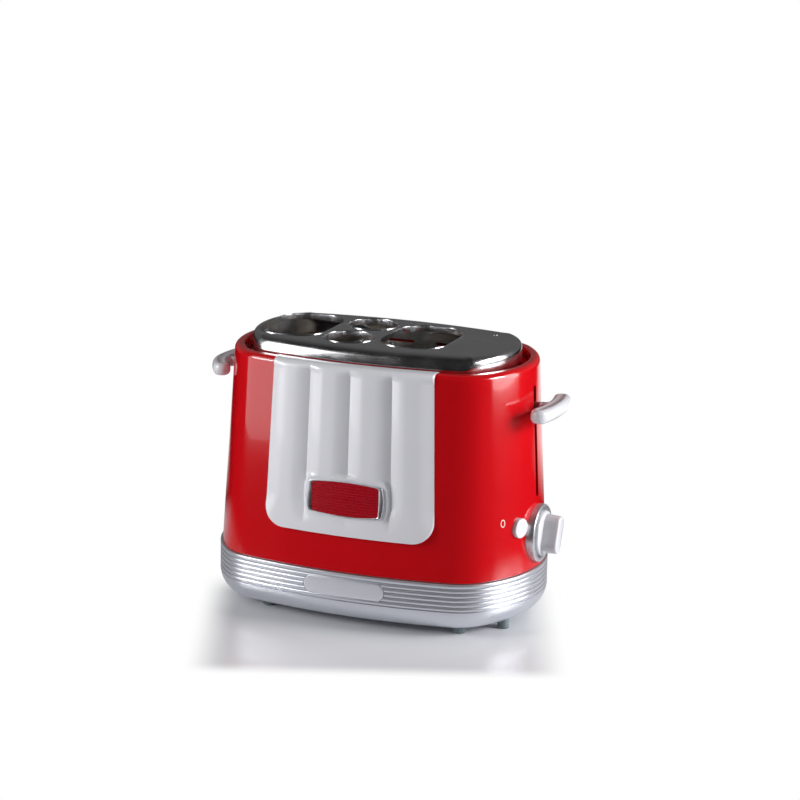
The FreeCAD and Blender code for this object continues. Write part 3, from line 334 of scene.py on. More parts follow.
def soft_least(first: Array, second: Array, blend: float) -> Array:
    """The smaller of two heights, with a rounded meeting line as wide as the blend."""
    share = np.clip(0.5 + 0.5 * (second - first) / blend, 0.0, 1.0)
    return second * (1 - share) + first * share - blend * share * (1 - share)


def softened(outline: Array, passes: int) -> Array:
    """A closed outline with rounded corners.

    Args:
        outline: the points, once round.
        passes: how often each point becomes half of itself and a quarter of each neighbour.

    Returns:
        The moved points.
    """
    for _ in range(passes):
        outline = 0.5 * outline + 0.25 * (np.roll(outline, 1, axis=0) + np.roll(outline, -1, axis=0))
    return outline


# ---- pieces

def mesh_of(name: str, surface: Surface) -> bpy.types.Mesh:
    """A mesh in metres with its doubles merged and its faces turned outward.

    Args:
        name: the mesh's name.
        surface: points in millimetres and faces.

    Returns:
        The mesh.
    """
    mesh = bpy.data.meshes.new(name)
    mesh.from_pydata((surface.points * MM).tolist(), [], surface.faces)
    work = bmesh.new()
    work.from_mesh(mesh)
    bmesh.ops.remove_doubles(work, verts=work.verts, dist=2e-6)
    bmesh.ops.dissolve_degenerate(work, edges=work.edges, dist=1e-7)
    bmesh.ops.recalc_face_normals(work, faces=work.faces)
    work.to_mesh(mesh)
    work.free()
    return mesh


def carve(target: bpy.types.Object, cutters: Sequence[Surface], action: Cut = Cut.TAKE_AWAY) -> None:
    """Cut closed surfaces away from a piece or join them to it, and keep the result as its mesh.

    Args:
        target: the piece.
        cutters: surfaces that don't touch each other.
        action: whether they are cut away or added.
    """
    tool = bpy.data.objects.new("cutter", mesh_of("cutter", gather(cutters)))
    bpy.context.scene.collection.objects.link(tool)
    modifier = target.modifiers.new("cut", "BOOLEAN")
    modifier.operation = action.value
    modifier.solver = "EXACT"
    modifier.object = tool
    bake(target)
    spent = tool.data
    bpy.data.objects.remove(tool)
    bpy.data.meshes.remove(spent)


def bake(target: bpy.types.Object) -> None:
    """Replace a piece's mesh by what its modifiers make of it, and drop the modifiers.

    Args:
        target: the piece.
    """
    bpy.context.view_layer.update()
    graph = bpy.context.evaluated_depsgraph_get()
    made = bpy.data.meshes.new_from_object(target.evaluated_get(graph), depsgraph=graph)
    spent = target.data
    target.modifiers.clear()
    target.data = made
    made.name = target.name
    bpy.data.meshes.remove(spent)


@dataclass
class Workshop:
    """Makes pieces: it names them, puts them on their body and gives them their finish."""

    finishes: dict[str, bpy.types.Material]

    def piece(self, name: str, surface: Surface, body: str = "appliance") -> bpy.types.Object:
        """A new object at the origin.

        Args:
            name: the piece's name.
            surface: its shape.
            body: the body that it rides on.

        Returns:
            The object.
        """
        made = bpy.data.objects.new(name, mesh_of(name, surface))
        bpy.context.scene.collection.objects.link(made)
        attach(made, body)
        return made

    def dress(self, made: bpy.types.Object, finish: str, replaces: Sequence[str] = (),
              angle: float = 30.0, weighted: bool = False) -> None:
        """Smooth a piece, give it its finish and hide the nodes that it stands for.

        Args:
            made: the piece.
            finish: name of its finish.
            replaces: the nodes that it stands for.
            angle: faces that turn by more degrees than this meet in a sharp edge.
            weighted: whether wide faces keep their own direction along their edges.
        """
        made.data.shade_smooth()
        made.data.set_sharp_from_angle(angle=math.radians(angle))
        if weighted:
            modifier = made.modifiers.new("normals", "WEIGHTED_NORMAL")
            modifier.keep_sharp = True
            modifier.weight = NORMAL_WEIGHT
            bake(made)
        made.data.materials.clear()
        made.data.materials.append(self.finishes[finish])
        if replaces:
            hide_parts(*replaces)
        log.info("%s: %d faces", made.name, len(made.data.polygons))


# ---- finishes

class NodeSheet:
    """The node tree of one finish, with the few patterns that the finishes share."""

    def __init__(self, name: str, **values: float | Colour) -> None:
        """Start a material that has only its shader and its output.

        Args:
            name: the material's name.
            values: sockets of the shader; an underscore in a name stands for a space.
        """
        self.material = bpy.data.materials.new(name)
        self.material.use_nodes = True
        self.tree = self.material.node_tree
        self.shader = self.tree.nodes["Principled BSDF"]
        self.place = self.tree.nodes.new("ShaderNodeTexCoord").outputs["Object"]
        for socket, value in values.items():
            level = (*value, 1.0) if isinstance(value, tuple) else value
            self.shader.inputs[socket.replace("_", " ")].default_value = level

    def node(self, kind: str, **settings: object) -> bpy.types.Node:
        """A new node with its settings.

        Args:
            kind: the node's type.
            settings: its settings by name.

        Returns:
            The node.
        """
        made = self.tree.nodes.new(kind)
        for name, value in settings.items():
            setattr(made, name, value)
        return made

    def join(self, source: Socket, target: Socket) -> None:
        """Link two sockets."""
        self.tree.links.new(source, target)

    def stretched(self, stretch: Sequence[float], shift: Sequence[float] = (0, 0, 0),
                  turn: float = 0.0) -> Socket:
        """Object coordinates in metres, scaled, then turned about Z, then shifted.

        Args:
            stretch: scale along each axis.
            shift: added along each axis.
            turn: degrees about Z.

        Returns:
            The vector.
        """
        mapping = self.node("ShaderNodeMapping")
        mapping.inputs["Rotation"].default_value = (0.0, 0.0, math.radians(turn))
        mapping.inputs["Scale"].default_value = stretch
        mapping.inputs["Location"].default_value = shift
        self.join(self.place, mapping.inputs["Vector"])
        return mapping.outputs["Vector"]

    def noise(self, scale: float, detail: float = 3.0, stretch: Sequence[float] = (1, 1, 1)) -> Socket:
        """Cloudy noise.

        Args:
            scale: features per metre.
            detail: how many finer layers it holds.
            stretch: scale of the pattern along each axis.

        Returns:
            Its value, mostly between 0.3 and 0.7.
        """
        made = self.node("ShaderNodeTexNoise")
        made.inputs["Scale"].default_value = scale
        made.inputs["Detail"].default_value = detail
        made.inputs["Roughness"].default_value = 0.55
        self.join(self.stretched(stretch), made.inputs["Vector"])
        return made.outputs["Fac"]

    def cells(self, size: float, output: str = "Color") -> Socket:
        """Cells of random value, or the distances to their middles.

        Args:
            size: size of a cell in millimetres.
            output: "Color" or "Distance".

        Returns:
            The chosen output.
        """
        made = self.node("ShaderNodeTexVoronoi")
        made.inputs["Scale"].default_value = 1000.0 / size
        self.join(self.place, made.inputs["Vector"])
        return made.outputs[output]

    def waves(self, scale: float, direction: str, distortion: float = 0.0) -> Socket:
        """Parallel waves across an axis.

        Args:
            scale: waves per metre over 3.14.
            direction: the axis.
            distortion: how far they wander.

        Returns:
            Their height from 0 to 1.
        """
        made = self.node("ShaderNodeTexWave", bands_direction=direction)
        made.inputs["Scale"].default_value = scale
        made.inputs["Distortion"].default_value = distortion
        self.join(self.place, made.inputs["Vector"])
        return made.outputs["Fac"]

    def spread(self, value: Socket, low: float, high: float, from_low: float = 0.3,
               from_high: float = 0.7) -> Socket:
        """A value carried from one range to another.

        Args:
            value: the value.
            low: what the lower bound becomes.
            high: what the upper bound becomes.
            from_low: the lower bound; the defaults are those of noise.
            from_high: the upper bound.

        Returns:
            The new value, kept within its range.
        """
        made = self.node("ShaderNodeMapRange")
        names = ("From Min", "From Max", "To Min", "To Max")
        for name, bound in zip(names, (from_low, from_high, low, high)):
            made.inputs[name].default_value = bound
        self.join(value, made.inputs["Value"])
        return made.outputs["Result"]

    def worked(self, operation: str, first: Socket, second: Socket) -> Socket:
        """What a Math node makes of two values.

        Args:
            operation: the node's operation.
            first: the first value.
            second: the second value.

        Returns:
            The result.
        """
        made = self.node("ShaderNodeMath", operation=operation)
        self.join(first, made.inputs[0])
        self.join(second, made.inputs[1])
        return made.outputs[0]

    def times(self, first: Socket, second: Socket) -> Socket:
        """The product of two values."""
        return self.worked("MULTIPLY", first, second)

    def added(self, first: Socket, second: Socket) -> Socket:
        """The sum of two values."""
        return self.worked("ADD", first, second)

    def tint(self, share: Socket, first: Colour, second: Colour) -> Socket:
        """A colour between two.

        Args:
            share: 0 for the first colour, 1 for the second.
            first: the first colour.
            second: the second colour.

        Returns:
            The colour.
        """
        made = self.node("ShaderNodeMix", data_type="RGBA")
        ends = [socket for socket in made.inputs if socket.type == "RGBA"]
        for socket, colour in zip(ends, (first, second)):
            socket.default_value = (*colour, 1.0)
        self.join(share, made.inputs["Factor"])
        return next(socket for socket in made.outputs if socket.type == "RGBA")

    def toned(self, share: Socket, colour: Colour, dark: float, light: float) -> Socket:
        """A colour between its own darker and lighter shades, by a share from 0 to 1."""
        return self.tint(share, shaded(colour, dark), shaded(colour, light))

    def bump(self, height: Socket, depth: float, strength: float = 1.0) -> Socket:
        """A bumped normal.

        Args:
            height: the pattern.
            depth: its full height in millimetres.
            strength: share of it that shows.

        Returns:
            The normal.
        """
        made = self.node("ShaderNodeBump")
        made.inputs["Distance"].default_value = depth * MM
        made.inputs["Strength"].default_value = strength
        self.join(height, made.inputs["Height"])
        return made.outputs["Normal"]

    def wear(self, colour: Socket, roughness: Socket, normal: Socket) -> bpy.types.Material:
        """Link a colour, a roughness and a normal to the shader.

        Args:
            colour: the base colour.
            roughness: the roughness.
            normal: the bumped normal.

        Returns:
            The finished material.
        """
        for source, name in ((colour, "Base Color"), (roughness, "Roughness"), (normal, "Normal")):
            self.join(source, self.shader.inputs[name])
        return self.material


def shaded(colour: Colour, factor: float) -> Colour:
    """A colour made lighter or darker by a factor."""
    return tuple(min(1.0, channel * factor) for channel in colour)


@dataclass(frozen=True)
class Finish:
    """What every finish has: its material's name and its middle colour."""

    name: str
    colour: Colour


@dataclass(frozen=True)
class GlossFinish(Finish):
    """Glossy moulding or paint: a slow drift of tone, fine hairline scuffs and a trace of orange peel."""

    roughness: float = 0.16
    coat: float = 0.6
    drift: float = 0.05
    peel: float = 0.004
    shine: float = 0.5

    def build(self) -> bpy.types.Material:
        """Make the material.

        Returns:
            The material.
        """
        sheet = NodeSheet(self.name, Coat_Weight=self.coat, Coat_Roughness=0.03, IOR=1.5,
                          Specular_IOR_Level=self.shine)
        cloud = sheet.spread(sheet.noise(14.0), 0.0, 1.0)
        tone = sheet.toned(cloud, self.colour, 1 - self.drift, 1 + self.drift)
        scuffs = sheet.noise(2200.0, 2.0, (1.0, 1.0, 0.15))
        rough = sheet.spread(scuffs, self.roughness * 0.8, self.roughness * 1.35)
        peel = sheet.bump(sheet.noise(420.0, 1.5), self.peel)
        return sheet.wear(tone, rough, peel)


@dataclass(frozen=True)
class FlakeFinish(Finish):
    """Silver paint: small bright flakes of random tone under a satin binder."""

    roughness: float = 0.34
    metallic: float = 0.75
    flake_size: float = 0.22

    def build(self) -> bpy.types.Material:
        """Make the material.

        Returns:
            The material.
        """
        sheet = NodeSheet(self.name, Metallic=self.metallic, Coat_Weight=0.25, Coat_Roughness=0.18)
        flakes = sheet.spread(sheet.cells(self.flake_size), 0.0, 1.0, 0.0, 1.0)
        tone = sheet.toned(flakes, self.colour, 0.95, 1.05)
        rough = sheet.spread(sheet.noise(60.0), self.roughness * 0.9, self.roughness * 1.12)
        grain = sheet.bump(sheet.cells(self.flake_size, "Distance"), 0.002, 0.2)
        return sheet.wear(tone, rough, grain)


@dataclass(frozen=True)
class PolishedFinish(Finish):
    """Polished plate: nearly a mirror, with faint smears and a fine lengthwise polish."""

    roughness: float = 0.07

    def build(self) -> bpy.types.Material:
        """Make the material.

        Returns:
            The material.
        """
        sheet = NodeSheet(self.name, Metallic=1.0)
        tone = sheet.toned(sheet.spread(sheet.noise(22.0), 0.0, 1.0), self.colour, 0.96, 1.03)
        smears = sheet.spread(sheet.noise(45.0, 4.0), 0.7, 1.5)
        polish = sheet.spread(sheet.noise(1500.0, 2.0, (0.05, 1.0, 1.0)), self.roughness * 0.85,
                              self.roughness * 1.3)
        lines = sheet.bump(sheet.noise(1100.0, 1.0, (0.03, 1.0, 1.0)), 0.0006)
        return sheet.wear(tone, sheet.times(polish, smears), lines)


@dataclass(frozen=True)
class BrushedFinish(Finish):
    """Metal with a drawn or rolled grain: streaks far longer than they are wide."""

    roughness: float = 0.3
    grain: Triple = (0.04, 1.0, 1.0)
    grain_scale: float = 1400.0
    metallic: float = 1.0
    stain: float = 0.08

    def build(self) -> bpy.types.Material:
        """Make the material.

        Returns:
            The material.
        """
        sheet = NodeSheet(self.name, Metallic=self.metallic)
        streaks = sheet.noise(self.grain_scale, 2.0, self.grain)
        cloud = sheet.noise(35.0, 4.0)
        tone = sheet.toned(sheet.spread(cloud, 0.0, 1.0), self.colour, 1 - self.stain, 1 + self.stain)
        rough = sheet.times(sheet.spread(streaks, self.roughness * 0.8, self.roughness * 1.25),
                            sheet.spread(cloud, 0.9, 1.15))
        return sheet.wear(tone, rough, sheet.bump(streaks, 0.004))


@dataclass(frozen=True)
class GrainedFinish(Finish):
    """Matt moulding, rubber or cast metal: a fine pebbled skin with a few lighter scuffs."""

    roughness: float = 0.6
    pebble: float = 0.35
    depth: float = 0.03
    metallic: float = 0.0

    def build(self) -> bpy.types.Material:
        """Make the material.

        Returns:
            The material.
        """
        sheet = NodeSheet(self.name, Metallic=self.metallic)
        pebbles = sheet.cells(self.pebble, "Distance")
        cloud = sheet.noise(70.0, 4.0)
        tone = sheet.toned(sheet.spread(cloud, 0.0, 1.0), self.colour, 0.85, 1.2)
        rough = sheet.spread(cloud, self.roughness * 0.9, min(1.0, self.roughness * 1.15))
        return sheet.wear(tone, rough, sheet.bump(pebbles, self.depth, 0.6))


@dataclass(frozen=True)
class MicaFinish(Finish):
    """Pressed mica sheet: overlapping silvery and brown flakes under a thin binder."""

    flake_size: float = 1000.0 / 260.0

    def build(self) -> bpy.types.Material:
        """Make the material.

        Returns:
            The material.
        """
        sheet = NodeSheet(self.name, Coat_Weight=0.3, Coat_Roughness=0.25)
        flakes = sheet.spread(sheet.cells(self.flake_size), 0.0, 1.0, 0.0, 1.0)
        rough = sheet.spread(sheet.noise(180.0), 0.32, 0.6)
        edges = sheet.bump(sheet.cells(self.flake_size, "Distance"), 0.03, 0.7)
        return sheet.wear(sheet.toned(flakes, self.colour, 0.7, 1.3), rough, edges)


@dataclass(frozen=True)
class WoundFinish(Finish):
    """Enamelled wire wound in level turns: a fine wave up the coil, with painted shade darkening the colour
    between the turns.
    """

    turns_per_metre: float = 2600.0

    def build(self) -> bpy.types.Material:
        """Make the material.

        Returns:
            The material.
        """
        sheet = NodeSheet(self.name, Metallic=0.85, Coat_Weight=0.5)
        turns = sheet.waves(self.turns_per_metre / math.pi, "Z", 0.4)
        # painted shade: the colour drops to 0.35 of itself in the hollows between the turns
        tone = sheet.toned(sheet.spread(turns, 0.0, 1.0, 0.1, 0.8), self.colour, 0.35, 1.1)
        rough = sheet.spread(sheet.noise(300.0, 2.0), 0.22, 0.4)
        return sheet.wear(tone, rough, sheet.bump(turns, 0.12))


@dataclass(frozen=True)
class LaminateFinish(Finish):
    """Printed circuit laminate: a green resist over lighter copper tracks and a woven glass core."""

    def build(self) -> bpy.types.Material:
        """Make the material.

        Returns:
            The material.
        """
        sheet = NodeSheet(self.name, Coat_Weight=0.4, Coat_Roughness=0.12)
        across = sheet.spread(sheet.waves(95.0, "Y", 6.0), 0.0, 1.0, 0.62, 0.66)
        tone = sheet.tint(across, self.colour, shaded(self.colour, 1.9))
        weave = sheet.added(sheet.waves(900.0, "Y"), sheet.waves(900.0, "Z"))
        return sheet.wear(tone, sheet.spread(weave, 0.3, 0.42, 0.0, 2.0), sheet.bump(weave, 0.01))


FINISHES = (
    GlossFinish("red_gloss", (0.60, 0.004, 0.008), 0.12, 0.5, 0.04, 0.003),
    GlossFinish("panel_white", (0.82, 0.82, 0.86), 0.2, 0.5, 0.015, 0.003),
    GlossFinish("lever_white", (0.74, 0.74, 0.78), 0.2, 0.5, 0.02, 0.003),
    GlossFinish("insert_red", (0.42, 0.002, 0.012), 0.22, 0.3, 0.03, 0.002, 0.3),
    GlossFinish("print_cream", (0.86, 0.80, 0.70), 0.4, 0.0, 0.05, 0.002),
    GlossFinish("print_grey", (0.20, 0.21, 0.24), 0.45, 0.0, 0.1, 0.002),
    FlakeFinish("base_silver", (0.69, 0.71, 0.76), 0.3, 0.75),
    FlakeFinish("plate_silver", (0.80, 0.82, 0.87), 0.3, 0.6, 0.16),
    FlakeFinish("bezel_silver", (0.74, 0.76, 0.80), 0.3, 0.8, 0.16),
    PolishedFinish("chrome", (0.80, 0.80, 0.82), 0.16),
    PolishedFinish("badge_chrome", (0.84, 0.84, 0.88), 0.34),
    BrushedFinish("galvanised", (0.58, 0.59, 0.61), 0.36, (1.0, 1.0, 0.05), 900.0, 1.0, 0.14),
    BrushedFinish("reflector_sheet", (0.74, 0.74, 0.75), 0.2, (0.05, 1.0, 1.0), 1200.0, 1.0, 0.06),
    BrushedFinish("drawn_wire", (0.66, 0.66, 0.67), 0.24, (1.0, 1.0, 0.06), 2600.0, 1.0, 0.08),
    BrushedFinish("ground_rod", (0.70, 0.70, 0.72), 0.18, (1.0, 1.0, 6.0), 900.0, 1.0, 0.05),
    BrushedFinish("tray_sheet", (0.70, 0.70, 0.72), 0.34, (0.05, 1.0, 1.0), 1100.0, 1.0, 0.1),
    BrushedFinish("oxide_ribbon", (0.26, 0.23, 0.21), 0.5, (1.0, 0.08, 1.0), 1500.0, 0.9, 0.3),
    BrushedFinish("zinc_screw", (0.58, 0.58, 0.56), 0.34, (1.0, 1.0, 1.0), 1600.0, 1.0, 0.15),
    GrainedFinish("foot_rubber", (0.16, 0.20, 0.215), 0.55, 0.5, 0.02),
    GrainedFinish("black_rubber", (0.022, 0.022, 0.024), 0.6, 0.4, 0.02),
    GrainedFinish("black_moulding", (0.035, 0.035, 0.038), 0.5, 0.3, 0.02),
    GrainedFinish("soft_iron", (0.22, 0.22, 0.24), 0.5, 0.7, 0.05, 0.8),
    MicaFinish("mica", (0.50, 0.42, 0.32)),
    WoundFinish("copper_winding", (0.62, 0.30, 0.14)),
    LaminateFinish("laminate", (0.03, 0.16, 0.06)),
)

NODE_FINISH = {
    "galvanised": ("oven_end_left", "oven_end_right", "chassis_floor", "control_bracket",
                   "bun_carriage_bracket", "sausage_lift_bracket"),
    "reflector_sheet": ("front_reflector", "rear_reflector"),
    "ground_rod": ("guide_rod_right", "guide_rod_left", "dial_shaft"),
    "drawn_wire": ("return_spring",),
    "soft_iron": ("magnet_core", "armature_plate"),
    "copper_winding": ("magnet_coil",),
    "black_moulding": ("timer_body", "stop_switch", "terminal_block"),
    "laminate": ("control_board",),
    "tray_sheet": ("crumb_tray",),
    "mica": ("heater_board_outer_left", "heater_board_inner_left", "heater_board_inner_right",
             "heater_board_outer_right"),
    "oxide_ribbon": ("heater_winding_outer_left", "heater_winding_inner_left", "heater_winding_inner_right",
                     "heater_winding_outer_right"),
}


# ---- plan shape of the body

@dataclass(frozen=True)
class Oval:
    """Plan of the body: eight tangent arcs, for the front and back, the two ends and the four corners."""

    half_length: float = 122.0
    half_depth: float = 79.2
    front_radius: float = 400.0
    end_radius: float = 90.0
    corner_radius: float = 38.7

    @property
    def end_centre(self) -> float:
        """Middle of the right end's arc, along x."""
        return self.half_length - self.end_radius

    @property
    def front_centre(self) -> float:
        """Middle of the front arc, along y."""
        return self.front_radius - self.half_depth

    def arcs(self) -> Array:
        """The arcs, anticlockwise from the front.

        The corner's centre lies where circles about the front's centre and the end's centre cross, with the
        corner's radius taken off each.

        Returns:
            Rows of centre x, centre y, radius, and start and sweep in degrees.
        """
        reach_front = self.front_radius - self.corner_radius
        reach_end = self.end_radius - self.corner_radius
        span = math.hypot(self.end_centre, self.front_centre)
        along = (reach_front ** 2 - reach_end ** 2 + span ** 2) / (2 * span)
        aside = math.sqrt(reach_front ** 2 - along ** 2)
        toward = np.array([self.end_centre, -self.front_centre]) / span
        square = np.array([-toward[1], toward[0]])
        middle = np.array([0.0, self.front_centre]) + along * toward
        corner = middle + aside * square
        front = math.degrees(math.atan2(corner[1] - self.front_centre, corner[0]))
        end = math.degrees(math.atan2(corner[1], corner[0] - self.end_centre))
        half, sweep = 90.0 + front, end - front
        x, y, big, small, side = corner[0], corner[1], self.front_radius, self.corner_radius, self.end_radius
        return np.array([
            (0.0, self.front_centre, big, -90.0 - half, 2 * half),
            (x, y, small, front, sweep),
            (self.end_centre, 0.0, side, end, -2 * end),
            (x, -y, small, -end, sweep),
            (0.0, -self.front_centre, big, -front, 2 * half),
            (-x, -y, small, 180.0 + front, sweep),
            (-self.end_centre, 0.0, side, 180.0 + end, -2 * end),
            (-x, y, small, 180.0 - end, sweep)])

    def outline(self, step: float) -> tuple[Array, Array]:
        """Places round the oval.

        Args:
            step: about how far apart they are.

        Returns:
            Their points and outward directions.
        """
        angles, centres, radii = [], [], []
        for cx, cy, radius, start, sweep in self.arcs():
            count = max(2, math.ceil(radius * math.radians(sweep) / step))
            angles.append(np.radians(start + sweep * np.arange(count) / count))
            centres.append(np.tile((cx, cy), (count, 1)))
            radii.append(np.full(count, radius))
        angle = np.concatenate(angles)
        normals = np.stack([np.cos(angle), np.sin(angle)], axis=1)
        return np.concatenate(centres) + np.concatenate(radii)[:, None] * normals, normals

    def front(self, x: Array, offset: Array) -> Array:
        """The y of the front arc at x, moved outward by an offset."""
        return self.front_centre - np.sqrt((self.front_radius + offset) ** 2 - x ** 2)

    def end(self, y: Array, offset: Array) -> Array:
        """The x of the right end's arc at y, moved outward by an offset."""
        return self.end_centre + np.sqrt((self.end_radius + offset) ** 2 - y ** 2)


OVAL = Oval()


def toward_front(normals: Array) -> Array:
    """Shares from 0 at the ends to 1 at the front and back, by how far outward directions point along y."""
    return soft_step(0.4, 1.0, np.abs(normals[:, 1]))


@dataclass
class Shell:
    """Red body shell: a leaning wall, a round shoulder and a rolled lip, with the lever slots cut through."""

    bottom: float = 41.3
    foot_gap: float = 0.6
    lip: float = 190.8
    wall: float = 2.0
    draft: float = 0.0578
    shoulder: float = 4.2
    lip_offset: float = -16.4
    end_lip_offset: float = -14.6
    roll: float = 1.2
    flange: float = 1.6
    flange_depth: float = 6.8
    slot_width: float = 5.0
    slot_bottom: float = 92.4
    slot_top: float = 174.5
    slot_ends: tuple[float, float] = (95.0, 128.0)
    button_hole: float = 7.5
    collar_wall: float = 1.5
    collar_ends: tuple[float, float] = (-5.0, -2.3)
    shaft_hole: float = 5.6

    def inset(self, z: Array | float) -> Array | float:
        """How far the wall has leaned in at a height."""
        return self.draft * (z - self.bottom)

    @property
    def lean(self) -> float:
        """Lean of the wall in degrees."""
        return math.degrees(math.atan(self.draft))

    @property
    def shoulder_centre(self) -> tuple[float, float]:
        """Middle of the shoulder's arc as offset and height, so that the arc is tangent to the wall.

        Returns:
            The offset and the height.
        """
        z = self.lip - self.shoulder
        start = z + self.shoulder * math.sin(math.radians(self.lean))
        return -self.inset(start) - self.shoulder * math.cos(math.radians(self.lean)), z

    @property
    def wall_end(self) -> float:
        """Height where the wall turns into the shoulder."""
        return self.shoulder_centre[1] + self.shoulder * math.sin(math.radians(self.lean))

    def profile(self, lip_offset: float) -> Array:
        """Closed section of the wall, from the foot up the outside, over the lip and down the inside.

        Args:
            lip_offset: offset of the lip's round.

        Returns:
            Rows of offset and height.
        """
        centre = self.shoulder_centre
        edge = lip_offset - self.roll
        start = self.bottom + self.foot_gap
        back = edge + self.flange
        foot = self.lip - self.roll - self.flange_depth
        rise = np.linspace(start + 0.4, centre[1] - 1.0, 14)
        fall = np.linspace(centre[1] - 1.0, self.bottom + 2.0, 6)
        return rows_of(
            (-self.wall, start), (-0.4, start), (-0.12, start + 0.1),
            np.stack([-self.inset(rise), rise], axis=1),
            arc(centre, self.shoulder, self.lean, 90.0, 16),
            arc((lip_offset, self.lip - self.roll), self.roll, 90.0, 180.0, 6),
            (edge, foot + 0.3), (edge + 0.3, foot), (back, foot), (back, self.lip - self.wall),
            arc(centre, self.shoulder - self.wall, 90.0, self.lean, 8),
            np.stack([-self.wall - self.inset(fall), fall], axis=1))

    def build(self, shop: Workshop, button: "Button") -> None:
        """Make the shell and cut its openings.

        Args:
            shop: where pieces are made.
            button: the button that comes through it.
        """
        points, normals = OVAL.outline(PLAN_STEP)
        at_end, at_front = self.profile(self.end_lip_offset), self.profile(self.lip_offset)
        sections = at_end + toward_front(normals)[:, None, None] * (at_front - at_end)
        made = shop.piece("painted_shell", ringed(points, normals, sections))
        middle = (self.slot_bottom + self.slot_top) / 2
        slot, _ = rounded_outline((0.0, middle), self.slot_width, self.slot_top - self.slot_bottom,
                                  self.slot_width / 2 - 0.01)
        spindle = button.spindle(self)
        near, far = self.slot_ends
        carve(made, [slab(slot, near, far, Axis.X), slab(slot, -far, -near, Axis.X),
                     spindle.drill(self.button_hole, -12, 6, 72),
                     Spindle((100.0, 0.0, Dial.height), *TO_DIAL).drill(self.shaft_hole, 0, 28, 48)])
        shop.dress(made, "red_gloss", ["body_shell"], 32.0, True)
        low, high = self.collar_ends
        inner, outer = self.button_hole, self.button_hole + self.collar_wall
        collar = spindle.turned(rows_of((inner, low), (inner, high), (outer, high), (outer, low)), 72)
        shop.dress(shop.piece("button_collar", collar), "red_gloss")


